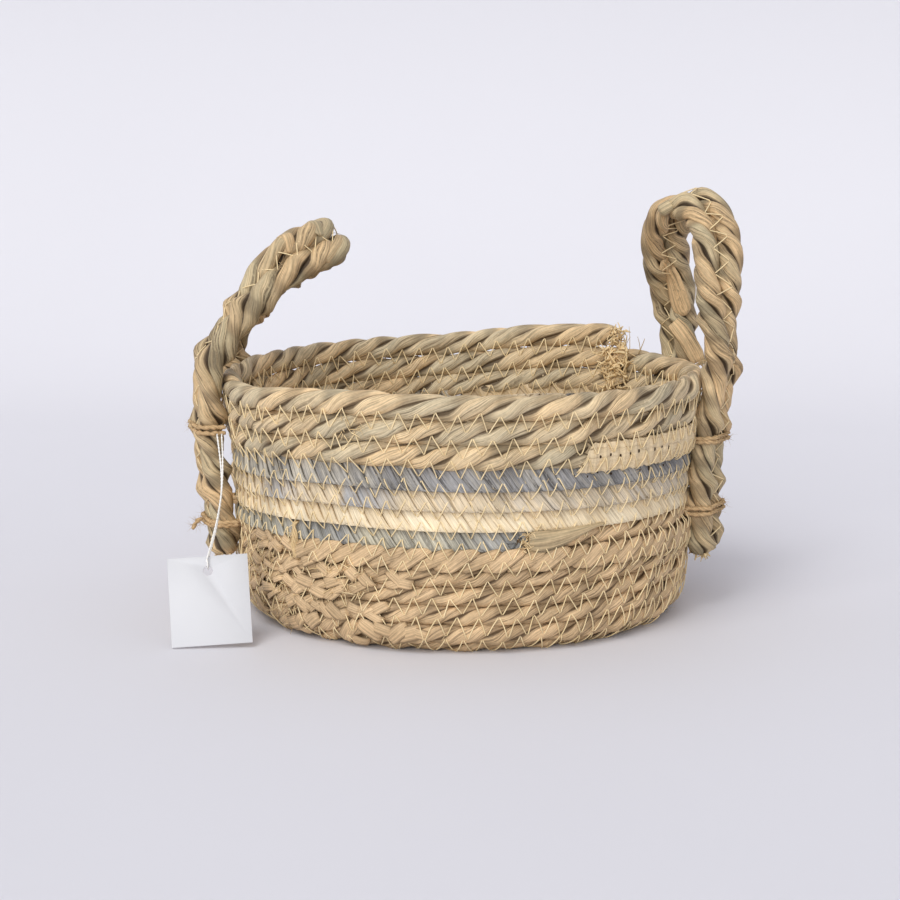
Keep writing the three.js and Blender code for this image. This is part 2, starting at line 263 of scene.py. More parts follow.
# %% The shared fibre pattern of palm leaf
leaf_fibre, fibre_in, fibre_out = node_group(
    "leaf_fibre",
    [
        ("Tone A", "NodeSocketColor", (0.6, 0.45, 0.25, 1)),
        ("Tone B", "NodeSocketColor", (0.5, 0.45, 0.3, 1)),
        ("Dark", "NodeSocketColor", (0.25, 0.17, 0.08, 1)),
        ("Streaks", "NodeSocketFloat", 0.3),
        ("Cracks", "NodeSocketFloat", 0.5),
        ("Groove shade", "NodeSocketFloat", 0.7),
    ],
    [("Colour", "NodeSocketColor"), ("Height", "NodeSocketFloat")],
)
grain_map = add_node(leaf_fibre, "ShaderNodeUVMap", uv_map="grain").outputs[0]
tone_value = add_node(leaf_fibre, "ShaderNodeAttribute", attribute_name="leaf_tone").outputs["Fac"]
object_place = add_node(leaf_fibre, "ShaderNodeTexCoord").outputs["Object"]


def fibre_maths(operation, a, b, clamp=False):
    return maths(leaf_fibre, operation, a, b, clamp)


def streak_noise(across, along, detail=2.0):
    """Noise with so many changes across the strip and along it."""
    stretching = [("Vector", grain_map), ("Scale", (across, along, 1))]
    stretched = add_node(leaf_fibre, "ShaderNodeMapping", stretching)
    links = [("Vector", stretched.outputs[0]), ("Scale", 1.0), ("Detail", detail)]
    return add_node(leaf_fibre, "ShaderNodeTexNoise", links).outputs["Fac"]


fine_streaks = streak_noise(20, 0.5, 3.0)
broad_streaks = streak_noise(5, 0.3)
fold_lines = streak_noise(9, 0.22, 1.0)
blotches = add_node(
    leaf_fibre, "ShaderNodeTexNoise", [("Vector", object_place), ("Scale", 60.0), ("Detail", 4.0)]
).outputs["Fac"]
speckles = streak_noise(8, 5.0, 4.0)
shade_depth_value = add_node(leaf_fibre, "ShaderNodeAttribute", attribute_name="groove_shade_depth").outputs["Fac"]


def centred(value, gain):
    return fibre_maths("MULTIPLY", fibre_maths("SUBTRACT", value, 0.5), gain)


tone_share = fibre_maths("ADD", tone_value, centred(broad_streaks, 1.1), True)
leaf_colour = mix_colour(leaf_fibre, tone_share, fibre_in.outputs["Tone A"], fibre_in.outputs["Tone B"])
light_share = fibre_maths("ADD", centred(fine_streaks, 1.7), centred(blotches, 1.0))
light_share = fibre_maths("ADD", light_share, centred(speckles, 0.5))
brightness = fibre_maths("ADD", fibre_maths("MULTIPLY", light_share, fibre_in.outputs["Streaks"]), 1.0)
grey_light = add_node(leaf_fibre, "ShaderNodeCombineColor", [(channel, brightness) for channel in range(3)])
leaf_colour = mix_colour(leaf_fibre, 1.0, leaf_colour, grey_light.outputs[0], "MULTIPLY")
crack_lines = ramp(leaf_fibre, fold_lines, 0.42, 0.35)
crack_mask = fibre_maths("MULTIPLY", crack_lines, ramp(leaf_fibre, speckles, 0.35, 0.5))
crack_mask = fibre_maths("MULTIPLY", crack_mask, fibre_in.outputs["Cracks"], True)
# Painted shade: the dark colour is mixed in by how deep a point lies in a groove, and the real cracks take the same
# dark colour.
crack_and_shade_share = fibre_maths("MULTIPLY", shade_depth_value, fibre_in.outputs["Groove shade"])
crack_and_shade_share = fibre_maths("MAXIMUM", crack_and_shade_share, crack_mask)
leaf_colour = mix_colour(leaf_fibre, crack_and_shade_share, leaf_colour, fibre_in.outputs["Dark"])
relief_height = fibre_maths("ADD", centred(fine_streaks, 0.8), centred(broad_streaks, 1.2))
relief_height = fibre_maths("SUBTRACT", relief_height, crack_mask)
leaf_fibre.links.new(leaf_colour, fibre_out.inputs["Colour"])
leaf_fibre.links.new(relief_height, fibre_out.inputs["Height"])
print("leaf_fibre has", len(leaf_fibre.nodes), "nodes")


# %% Finishes
def leaf_finish(name, tone_a, tone_b, dark, streaks=1.0, cracks=0.6, groove_shade=0.7, bump=0.6, roughness=0.6):
    """A leaf material: two tones that each strand mixes its own way, and a dark one for cracks and painted groove
    shade.
    """
    material, tree, shader = new_material(name, roughness)
    shader.inputs["Specular IOR Level"].default_value = 0.35
    links = [("Tone A", from_srgb(*tone_a)), ("Tone B", from_srgb(*tone_b)), ("Dark", from_srgb(*dark))]
    links += [("Streaks", streaks), ("Cracks", cracks), ("Groove shade", groove_shade)]
    fibre = add_node(tree, "ShaderNodeGroup", links, node_tree=leaf_fibre)
    heights = [("Height", fibre.outputs["Height"]), ("Strength", bump), ("Distance", 0.0006)]
    relief = add_node(tree, "ShaderNodeBump", heights)
    tree.links.new(fibre.outputs["Colour"], shader.inputs["Base Color"])
    tree.links.new(relief.outputs[0], shader.inputs["Normal"])
    return material


# Each finish also sets how strongly painted shade darkens its grooves.
tan_leaf = leaf_finish("tan_leaf", (224, 194, 150), (196, 181, 150), (70, 50, 28), cracks=0.45, groove_shade=0.85)
lower_leaf = leaf_finish(
    "lower_leaf", (213, 182, 141), (195, 166, 127), (70, 48, 26), cracks=0.5, groove_shade=0.85
)
grey_leaf = leaf_finish("grey_leaf", (190, 182, 158), (150, 150, 148), (84, 78, 70), 1.3)
pale_leaf = leaf_finish("pale_leaf", (240, 224, 192), (234, 211, 172), (160, 124, 76), 0.6, 0.4)
mixed_leaf = leaf_finish("mixed_leaf", (224, 203, 168), (170, 169, 168), (120, 96, 64), 0.9)
dark_leaf = leaf_finish("dark_leaf", (136, 134, 133), (206, 196, 174), (60, 56, 54), 1.5, 0.8)
cream_leaf = leaf_finish("cream_leaf", (231, 209, 172), (220, 196, 155), (140, 104, 60), 0.35, 0.3)
handle_leaf = leaf_finish(
    "handle_leaf", (210, 178, 134), (184, 168, 134), (52, 36, 20), cracks=0.6, groove_shade=0.95
)
stitch_finish = leaf_finish(
    "sewing_thread", (244, 222, 178), (230, 206, 158), (190, 160, 114), 0.4, 0.1, 0.1, 0.2
)
# The needle holes are painted shade: dark plugs stand for the shadow inside each hole.
hole_shade_finish = leaf_finish("needle_hole_shade", (70, 50, 32), (52, 38, 24), (40, 28, 18), 0.4, 0.1, 0.1, 0.1, 0.9)
twine_finish = leaf_finish(
    "jute_twine", (212, 180, 136), (190, 158, 116), (120, 90, 54), 0.8, 0.4, 0.7, 0.4, 0.9
)
fray_finish = leaf_finish(
    "loose_fibre", (240, 216, 170), (206, 176, 128), (120, 92, 56), 0.8, 0.4, 0.4, 0.3, 0.8
)
cotton_finish = leaf_finish(
    "cotton_thread", (248, 246, 242), (240, 238, 234), (206, 204, 200), 0.1, 0.05, 0.5, 0.1, 0.8
)
print("leaf finishes are made")


def paper_finish(name):
    """Matt white card with a faint cloud of tone and the grain of pulp."""
    material, tree, shader = new_material(name, 0.45)
    place = add_node(tree, "ShaderNodeTexCoord").outputs["Object"]
    grain = [("Vector", place), ("Scale", 900.0), ("Detail", 4.0)]
    pulp = add_node(tree, "ShaderNodeTexNoise", grain).outputs["Fac"]
    cloud = add_node(tree, "ShaderNodeTexNoise", [("Vector", place), ("Scale", 60.0)]).outputs["Fac"]
    colour = mix_colour(tree, cloud, from_srgb(208, 208, 210), from_srgb(203, 203, 206))
    relief = add_node(tree, "ShaderNodeBump", [("Height", pulp), ("Strength", 0.08), ("Distance", 0.0002)])
    tree.links.new(colour, shader.inputs["Base Color"])
    tree.links.new(relief.outputs[0], shader.inputs["Normal"])
    return material


card_finish = paper_finish("card")

# %% [markdown]
# ## Hang tag and its thread
# A small white card stands just clear of the floor and leans back on a doubled cotton thread, from
# the upper twine tie of the left handle. The thread is two plies twisted together, so its ring of
# points has two lobes that turn along the way. The card is bare.

# %% Thread of the tag
thread_route = [
    (-0.1149, -0.0308, 0.0885),
    (-0.1141, -0.0367, 0.0823),
    (-0.1135, -0.0426, 0.0761),
    (-0.1132, -0.0487, 0.0698),
    (-0.1133, -0.0549, 0.0636),
    (-0.1139, -0.0612, 0.0574),
    (-0.1149, -0.0676, 0.0512),
    (-0.1163, -0.0741, 0.0450),
    (-0.1178, -0.0807, 0.0387),
    (-0.1176, -0.0816, 0.0369),
    (-0.1175, -0.0817, 0.0353),
    (-0.1175, -0.0806, 0.0340),
    (-0.1176, -0.0789, 0.0339),
    (-0.1178, -0.0776, 0.0350),
    (-0.1180, -0.0768, 0.0368),
    (-0.1163, -0.0707, 0.0433),
    (-0.1149, -0.0647, 0.0497),
    (-0.1140, -0.0588, 0.0562),
    (-0.1135, -0.0530, 0.0627),
    (-0.1137, -0.0474, 0.0691),
    (-0.1145, -0.0419, 0.0756),
    (-0.1157, -0.0365, 0.0820),
    (-0.1171, -0.0311, 0.0885),
]
thread_diameter = 0.001
thread_twist = 0.004


def smooth_path(points, per_step):
    """Catmull-Rom curve through the points, with a number of steps between each two."""
    points = np.asarray(points, float)
    ends = np.vstack([2 * points[0] - points[1], points, 2 * points[-1] - points[-2]])
    made = []
    for i in range(len(points) - 1):
        a, b, c, d = ends[i:i + 4]
        t = np.linspace(0, 1, per_step, endpoint=False)[:, None]
        bent = 2 * b + (c - a) * t + (2 * a - 5 * b + 4 * c - d) * t**2
        made.append(0.5 * (bent + (3 * b - a - 3 * c + d) * t**3))
    return np.vstack([*made, points[-1:]])


def plied_rings(points, radius, twist, sides=10, plies=2):
    """Rings of a twisted thread: a lobed section that turns along the path."""
    rings = round_rings(points, 1.0, sides) - points[:, None]
    forward = along_path(points)
    turned = 2 * math.pi * path_lengths(points) / twist
    angle = 2 * math.pi * np.arange(sides)[None] / sides
    lobes = 0.8 + 0.2 * np.cos(plies * angle)
    aside, upward = rings[:, 0], np.cross(forward, rings[:, 0])
    spin = angle + turned[:, None]
    ring = np.cos(spin)[..., None] * aside[:, None] + np.sin(spin)[..., None] * upward[:, None]
    return points[:, None] + radius * lobes[..., None] * ring


thread_path = smooth_path(thread_route, 8)
thread_tubes = Tubes()
thread_tubes.add(plied_rings(thread_path, thread_diameter / 2, thread_twist), 0.3)
tag_thread = thread_tubes.to_object("tag_thread_twisted", cotton_finish, "hang_tag", "thread")
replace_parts(tag_thread, "tag_thread")

# %% Blank card
tag_width = 0.037
tag_height = 0.042
tag_thickness = 0.0006
tag_hole_radius = 0.0022
tag_hole_inset = 0.007
tag_lean = math.radians(26)
tag_turn = math.radians(3)
tag_roll = math.radians(3.5)
tag_foot = Vector((-0.1145, -0.096, 0.0014))

bpy.ops.object.select_all(action="DESELECT")
bpy.ops.mesh.primitive_cube_add(size=1, location=(0, tag_height / 2, tag_thickness / 2))
blank_card = bpy.context.object
blank_card.name = "blank_card"
blank_card.scale = (tag_width, tag_height, tag_thickness)
bpy.ops.object.transform_apply(location=True, rotation=True, scale=True)
bpy.ops.mesh.primitive_cylinder_add(
    vertices=48,
    radius=tag_hole_radius,
    depth=tag_thickness * 4,
    location=(0, tag_height - tag_hole_inset, 0),
)
punch = bpy.context.object
punched = blank_card.modifiers.new("punched hole", "BOOLEAN")
punched.object = punch
punched.operation = "DIFFERENCE"
bpy.ops.object.select_all(action="DESELECT")
blank_card.select_set(True)
bpy.context.view_layer.objects.active = blank_card
bpy.ops.object.modifier_apply(modifier=punched.name)
bpy.data.objects.remove(punch)
edge_bevel = blank_card.modifiers.new("soft edge", "BEVEL")
edge_bevel.width = tag_thickness / 6
edge_bevel.segments = 2
edge_bevel.limit_method = "ANGLE"
bpy.ops.object.modifier_apply(modifier=edge_bevel.name)
standing = Matrix.Rotation(tag_turn, 4, "Z") @ Matrix.Rotation(math.pi / 2 - tag_lean, 4, "X")
blank_card.data.transform(Matrix.Translation(tag_foot) @ standing @ Matrix.Rotation(tag_roll, 4, "Z"))
blank_card.data.materials.clear()
blank_card.data.materials.append(card_finish)
bpy.ops.object.shade_smooth_by_angle(angle=math.radians(35))
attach(blank_card, "hang_tag")
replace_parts(blank_card, "swing_tag")
print("card", len(blank_card.data.polygons), "faces")

# %% [markdown]
# ## Floor and light
# The basket stands on a pale floor that runs on behind it with no edge in view. The light is a wide
# soft one from above and in front, with a bright surround, so shadows are faint and only the contact
# with the floor is dark.

# %% Floor that curves up into a wall
floor_half_width = 6
floor_front = -6
sweep_start = 0.55
sweep_radius = 0.5
sweep_steps = 24
wall_top = 5
sweep_profile = [(floor_front, 0.0)]
for step in range(sweep_steps + 1):
    turn = math.pi / 2 * step / sweep_steps
    sweep_profile.append((sweep_start + sweep_radius * math.sin(turn), sweep_radius * (1 - math.cos(turn))))
sweep_profile.append((sweep_start + sweep_radius, wall_top))
sweep_mesh = bpy.data.meshes.new("studio_sweep")
sweep_corners = [(side * floor_half_width, y, z) for y, z in sweep_profile for side in (-1, 1)]
sweep_faces = [(2 * i, 2 * i + 1, 2 * i + 3, 2 * i + 2) for i in range(len(sweep_profile) - 1)]
sweep_mesh.from_pydata(sweep_corners, [], sweep_faces)
sweep_mesh.polygons.foreach_set("use_smooth", [True] * len(sweep_faces))
floor = bpy.data.objects.new("studio_sweep", sweep_mesh)
bpy.context.scene.collection.objects.link(floor)
floor_colour = from_srgb(222, 221, 226)
# The wall is the same paper as the floor: its darker colour, blended in by height above the floor, is painted shade.
shaded_wall_colour = from_srgb(207, 206, 211)
wall_shade_heights = (0.02, 0.35)
floor_dust = from_srgb(217, 216, 221)
floor_material, floor_tree, floor_shader = new_material("floor", 0.7)
floor_place = add_node(floor_tree, "ShaderNodeTexCoord").outputs["Object"]
dust = [("Vector", floor_place), ("Scale", 3.0)]
floor_cloud = add_node(floor_tree, "ShaderNodeTexNoise", dust).outputs["Fac"]
floor_mix = mix_colour(floor_tree, floor_cloud, floor_colour, floor_dust)
floor_level = add_node(floor_tree, "ShaderNodeSeparateXYZ", [("Vector", floor_place)]).outputs["Z"]
floor_mix = mix_colour(floor_tree, ramp(floor_tree, floor_level, *wall_shade_heights), floor_mix, shaded_wall_colour)
floor_tree.links.new(floor_mix, floor_shader.inputs["Base Color"])
floor.data.materials.append(floor_material)

# %% Lights
surround_colour = (0.94, 0.95, 1.0, 1)
surround_strength = 0.52
world = bpy.data.worlds.new("studio")
world.use_nodes = True
surround = world.node_tree.nodes["Background"]
surround.inputs["Color"].default_value = surround_colour
surround.inputs["Strength"].default_value = surround_strength
bpy.context.scene.world = world


def add_sun(name, strength, spread, tilt, heading):
    """A soft sun that shines down, tilted from straight down towards a heading."""
    bpy.ops.object.select_all(action="DESELECT")
    bpy.ops.object.light_add(type="SUN", rotation=(math.radians(tilt), 0, math.radians(heading)))
    sun = bpy.context.object
    sun.name = name
    sun.data.energy = strength
    sun.data.angle = math.radians(spread)
    return sun


key_light = add_sun("key_light", 1.05, 30, 34, -32)
fill_light = add_sun("fill_light", 1.25, 40, 66, -14)
bpy.context.scene.view_settings.view_transform = "Standard"
print("lights", key_light.data.energy, fill_light.data.energy, bpy.context.scene.view_settings.view_transform)

# %% [markdown]
# ## Path of the coil
# The coil follows the same line as the frame: flat across the base, round the corner, up the wall and
# slightly outwards to the rim. Turns are counted back from the cut end at the rim. A dip at the back
# and left lowers the rows a little, as they do on a basket that is sewn by eye.

# %% Values of the coil
tucked_start = 0.0022
wall_radius = 0.1064
rim_radius = 0.1134
base_corner_radius = 0.010
waist_height = 0.044
top_height = 0.1234
lower_pitch = 0.0093
upper_pitch = 0.0115
braid_thickness = 0.0072
upper_turns = 2
pitch_change_turns = 2
end_angle = 45
rim_dip = 0.007
dip_angles = (50, 105, 200, 245)
floor_tuck = 0.034
rows_drop = 0.0026
drop_heights = (0.006, 0.060)
tuck_heights = (0.036, 0.022)
base_height = braid_thickness / 2
rim_flare = 0.1


def coil_profile():
    """Points of the line from the middle of the base to the rim, as radius and height."""
    corner_x, corner_z = wall_radius - base_corner_radius, base_height + base_corner_radius
    across = np.linspace(-tucked_start, corner_x, 400)
    flat = np.stack([across, np.full_like(across, base_height)], 1)
    turn = np.linspace(-math.pi / 2, 0, 80)
    bend = base_corner_radius * np.stack([np.cos(turn), np.sin(turn)], 1)
    corner = np.array([corner_x, corner_z]) + bend
    rising = np.linspace(corner_z, waist_height, 80)
    wall = np.stack([np.full_like(rising, wall_radius), rising], 1)
    t = np.linspace(0, 1, 300)[:, None]
    start, end = np.array([wall_radius, waist_height]), np.array([rim_radius, top_height])
    middle = np.array([wall_radius, (waist_height + top_height) / 2])
    flare = (1 - t) ** 2 * start + 2 * t * (1 - t) * middle + t**2 * end
    return np.vstack([flat, corner[1:], wall[1:], flare[1:]])


profile_points = coil_profile()
profile_lengths = path_lengths(profile_points)
profile_length = profile_lengths[-1]
profile_slopes = along_path(profile_points)


def place_of(turns):
    growth = (upper_pitch - lower_pitch) / pitch_change_turns
    changing = np.clip(turns - upper_turns, 0, pitch_change_turns)
    below = np.maximum(0, turns - upper_turns - pitch_change_turns)
    above = np.minimum(turns, upper_turns)
    climbed = above * upper_pitch + changing * (upper_pitch - growth * changing / 2) + below * lower_pitch
    return profile_length - climbed


def angle_of(turns):
    return np.radians(end_angle + 360 * turns)


def dip_share(angle):
    around = np.degrees(angle) % 360
    faded = smooth_share(*dip_angles[:2], around) - smooth_share(*dip_angles[2:], around)
    return rim_dip / top_height * faded


def on_coil(turns, across, outward):
    """Points of the wall or base, offset up the profile and outwards from the coil's middle line."""
    place = place_of(turns) + across
    past_rim = np.maximum(0, place - profile_length)
    radius = np.interp(place, profile_lengths, profile_points[:, 0]) + past_rim * rim_flare
    height = np.interp(place, profile_lengths, profile_points[:, 1]) + past_rim
    slope_x = np.interp(place, profile_lengths, profile_slopes[:, 0])
    slope_z = np.interp(place, profile_lengths, profile_slopes[:, 1])
    angle = angle_of(turns)
    radius = radius + outward * slope_z
    height = height - outward * slope_x
    height = np.maximum(height * (1 - dip_share(angle)), 0)
    height = height - rows_drop * smooth_share(*drop_heights, height)
    tuck_height = np.where(np.cos(angle) > 0, tuck_heights[0], tuck_heights[1])
    radius = radius * (1 - floor_tuck * np.cos(angle) ** 2 * (1 - smooth_share(0, tuck_height, height)))
    return np.stack([radius * np.cos(angle), radius * np.sin(angle), height], -1)


splices = {
    "rim": (0, 2 + 17 / 24),
    "cream": (2 + 17 / 24, 3 + 3 / 24),
    "dark": (3 + 3 / 24, 4 + 1 / 24),
    "mixed": (4 + 1 / 24, 5 + 1 / 24),
    "pale": (5 + 1 / 24, 6 + 3 / 24),
    "grey": (6 + 3 / 24, 6 + 16 / 24),
    "lower": (6 + 16 / 24, 13),
}
total_turns = upper_turns + pitch_change_turns + place_of(upper_turns + pitch_change_turns) / lower_pitch
total_turns = math.floor(total_turns * 24) / 24
splices["base"] = (13, total_turns)
turn_grid = np.linspace(0, total_turns, 20000)
radius_grid = np.interp(place_of(turn_grid), profile_lengths, profile_points[:, 0])
length_grid = np.concatenate([[0], np.cumsum(np.diff(turn_grid) * 2 * math.pi * (radius_grid[1:] + 0.001))])
print("coil turns", round(total_turns, 3), "length in metres", round(float(length_grid[-1]), 2))

# %% [markdown]
# ## Twisted rows and flat plaited rows
# The tan rows and the handles are three fat strands laid round each other, so each strand is swept
# along a flattened helix and shows as a row of slanted lenses. The coloured rows are flat plaits of five
# strips. The strips swing from edge to edge and pass over and under on the way, and the upper half of
# each row is tucked behind the row above, so only the half that slants the other way shows.

# %% Kinds of row
rope_kind = dict(twisted=True, up=0.0, out=0.0, lean=0.0)
rows = {
    "rim": dict(rope_kind, lay=0.0585, high=0.0066, thick=0.0050, share=0.58, bold=1.0,
                step=0.0018, seed=3, sizes=(1.0, 1.05, 0.96)),
    "lower": dict(rope_kind, lay=0.0500, high=0.0054, thick=0.0041, share=0.60, bold=0.9,
                  step=0.0021, seed=5, sizes=(1.08, 0.96, 0.98)),
    "flat": dict(twisted=False, lay=0.0440, high=0.0090, swing=0.0152, thick=0.0009, width=0.0067,
                 depth=0.0007, up=0.0040, out=0.0012, lean=-0.28, step=0.0012, seed=7,
                 sizes=(1.0, 1.03, 0.97, 1.02, 0.98)),
}
rows["base"] = dict(rows["lower"], thick=0.0039, step=0.0032)
band_row = {
    "rim": "rim", "cream": "flat", "dark": "flat", "mixed": "flat",
    "pale": "flat", "grey": "flat", "lower": "lower", "base": "base",
}
crease_places = (-0.95, -0.3, 0.35, 1.0)
crease_width = 0.11
half_section = [8, 16, *range(24, 105, 10), 130, 165]
section_turns = np.radians([-angle for angle in half_section[::-1]] + [0] + half_section + [180])
flat_sides = 16
swing_tip = 0.998


def twisted_state(row, length, strand):
    """Turn of a strand round its rope, and the middle and half sizes of its section.

    Every second leaf crosses the row boldly: it is steeper, narrower and lies over its neighbours."""
    seed = row["seed"] * 10 + strand
    turned = 2 * math.pi * length / row["lay"] + 0.4 * wander(length, row["seed"], 0.17)
    phase = turned + 2 * math.pi * strand / 3 + 0.12 * wander(length, seed, 0.09)
    facing = 0.5 + 0.5 * np.cos(phase)
    crossing = row["bold"] * (facing * np.cos(1.5 * turned) + (1 - facing) * np.sin(1.5 * turned))
    phase = phase + (0.04 + 0.24 * crossing) * np.sin(2 * phase)
    size = row["sizes"][strand] * (1 + 0.05 * wander(length, seed + 300, 0.05))
    plump = size * (0.90 + 0.15 * np.cos(phase) ** 2)
    reach = 1 - row["share"]
    across = row["high"] * reach * np.sin(phase) + 0.0002 * wander(length, seed + 100, 0.07)
    through = row["thick"] * reach * np.cos(phase) * (1 + 0.4 * crossing)
    through = through + 0.0001 * wander(length, seed + 200, 0.05)
    half_across = row["high"] * row["share"] * plump * (1 - 0.08 * crossing)
    return phase, across, through, half_across, row["thick"] * row["share"] * plump * (1 + 0.06 * crossing)


def creases(length, seed, turns):
    """How deep the folds of a leaf strip cut into its section, along its length and round its section."""
    cut = np.zeros((len(length), len(turns)))
    for number, place in enumerate(crease_places):
        middle = place + 0.3 * wander(length, seed + 400 + number, 0.08)[:, None]
        deepness = np.clip(0.02 + 0.07 * wander(length, seed + 500 + number, 0.035), 0, 1)[:, None]
        cut += deepness * np.exp(-(((turns[None] - middle) / crease_width) ** 2))
    return cut


def twisted_rings(row, length, strand):
    """Section of one twisted strand at each length, as offsets across and through the row."""
    phase, across, through, half_across, half_through = twisted_state(row, length, strand)
    round_share = 1 - creases(length, row["seed"] * 10 + strand, section_turns)
    turned = phase[:, None] + section_turns[None]
    ring_across = across[:, None] + half_across[:, None] * round_share * np.sin(turned)
    ring_through = through[:, None] + half_through[:, None] * round_share * np.cos(turned)
    # Painted shade: the strand is darker in its creases, on the sides of its section that face into the grooves, and
    # where it is tucked at the edge of the row.
    groove = smooth_share(math.radians(80), math.radians(100), np.abs(section_turns))[None]
    tucked = 0.45 * smooth_share(0.80, 1.0, np.abs(np.sin(phase)))[:, None]
    shade_depths = np.clip(4 * (1 - round_share) - 0.1, 0, 0.45) + groove + tucked
    return ring_across, ring_through, np.clip(shade_depths, 0, 1), phase


def flat_state(row, length, strand):
    """Where a flat strip lies across and through its plait, and its half sizes in the same section."""
    seed = row["seed"] * 10 + strand
    turned = length / row["lay"] + strand / len(row["sizes"])
    phase = 2 * math.pi * turned + 0.25 * wander(length, row["seed"], 0.15)
    across = row["swing"] * np.arcsin(swing_tip * np.sin(phase)) / math.asin(swing_tip)
    through = row["thick"] * np.clip(-3 * np.cos(phase), -1, 1) + 0.0001 * wander(length, seed + 200, 0.05)
    size = row["sizes"][strand] * (1 + 0.05 * wander(length, seed + 300, 0.03))
    return phase, across, through, row["width"] * size, row["depth"] * (0.85 + 0.15 * size)


def row_reach(row, length, across, side):
    """How far a row reaches outwards (side 1) or inwards (side -1) at a place on it."""
    reach = np.full(np.shape(length), -0.003)
    for strand in range(len(row["sizes"])):
        if row["twisted"]:
            _, middle, through, half_across, half_through = twisted_state(row, length, strand)
        else:
            _, middle, through, half_across, half_through = flat_state(row, length, strand)
        share = (across - row["up"] - middle) / half_across
        inside = np.abs(share) < 1
        if not row["twisted"]:
            inside &= np.abs(across - row["up"]) < row["high"]
        height = side * through + half_through * np.sqrt(np.clip(1 - share**2, 0, 1))
        reach = np.where(inside, np.maximum(reach, height), reach)
    return side * reach + row["lean"] * across + row["out"]


def flat_rings(row, length, strand):
    """Section of one flat strip at each length. It is trimmed where it meets an edge of the row."""
    phase, across, through, half_across, half_through = flat_state(row, length, strand)
    seed = row["seed"] * 10 + strand
    turn = 2 * math.pi * np.arange(flat_sides) / flat_sides
    wide = np.sign(np.cos(turn)) * np.abs(np.cos(turn)) ** 0.8
    deep = np.sign(np.sin(turn)) * np.abs(np.sin(turn)) ** 0.4
    groove = np.zeros((len(length), flat_sides))
    for fold in range(2):
        line = 0.6 * wander(length, seed + 400 + fold, 0.05)[:, None]
        groove += 0.16 * np.exp(-(((wide[None] - line) / 0.2) ** 2))
    top = row["high"] - 0.004 * smooth_share(-0.1, 0.3, np.cos(phase))[:, None]
    ring_across = np.clip(across[:, None] + half_across[:, None] * wide[None], -row["high"], top)
    ring_through = through[:, None] + half_through[:, None] * deep[None] * (1 - groove) + 0.0005 * wide[None]
    # Painted shade: the strip is darker at its edges, where it meets its neighbours, and along its folds.
    shade_depths = smooth_share(0.92, 1.0, np.abs(wide))[None] + 0.8 * groove
    return ring_across, ring_through, np.clip(shade_depths, 0, 1), phase


def leaf_tones(phase, seed):
    """Each visible leaf of a strand has its own tone, which changes where the strand goes out of sight."""
    place = phase / math.pi + 0.5
    number = np.floor(place).astype(int)
    tones = np.random.default_rng(seed + 600).uniform(0, 1, 500)
    change = smooth_share(0.85, 1.0, place - number)
    return tones[number % 500] * (1 - change) + tones[(number + 1) % 500] * change


print("rows", list(rows))

# %% [markdown]
# ## Rows of the basket
# Each colour run is one piece, but the long lower tan run is one piece per strand. Strands start and
# stop a few millimetres apart, as strips do where new leaf is laid in, and get thin at their ends.

# %% Rows
end_stagger = (-0.004, 0.003, 0.009, 0.0, 0.006)
end_taper = 0.006
thin_end = 0.15
blunt_end = 0.85
band_pieces = {
    "rim": ("rim_rope", "rim_braid", tan_leaf, "tan_leaf"),
    "cream": ("cream_plait", "cream_braid", cream_leaf, "cream_leaf"),
    "dark": ("dark_plait", "dark_braid", dark_leaf, "dark_leaf"),
    "mixed": ("mixed_plait", "mixed_braid", mixed_leaf, "mixed_leaf"),
    "pale": ("pale_plait", "pale_braid", pale_leaf, "pale_leaf"),
    "grey": ("grey_plait", "grey_braid", grey_leaf, "grey_leaf"),
    "lower": ("lower_wall_rope", "lower_wall_braid", lower_leaf, "tan_leaf"),
    "base": ("base_rope", "base_coil", lower_leaf, "tan_leaf"),
}
tone_runs = {
    "dark": [(3.0, 0.75), (3.42, 0.8), (3.52, 0.45), (3.60, 0.12), (4.1, 0.1)],
    "mixed": [(4.0, 0.2), (4.46, 0.05), (4.47, 0.8), (4.495, 0.75), (4.505, 0.05), (4.54, 0.1), (4.545, 0.95),
              (4.575, 0.85), (4.585, 0.15), (4.7, 0.3), (5.1, 0.25)],
    "grey": [(6.1, 0.3), (6.42, 0.15), (6.48, 0.3), (6.50, 0.75), (6.54, 0.8), (6.56, 0.2), (6.62, 0.3),
             (6.64, 0.9), (6.7, 0.9)],
}


def coil_length(turns):
    return np.interp(turns, turn_grid, length_grid)


def coil_turns(length):
    return np.interp(length, length_grid, turn_grid)


def band_span(band, stagger):
    """First and last length of a strand of a colour run."""
    first, last = coil_length(splices[band][0]), coil_length(splices[band][1])
    first = first - stagger if first > 0 else abs(stagger)
    return first, min(length_grid[-1], last + stagger)


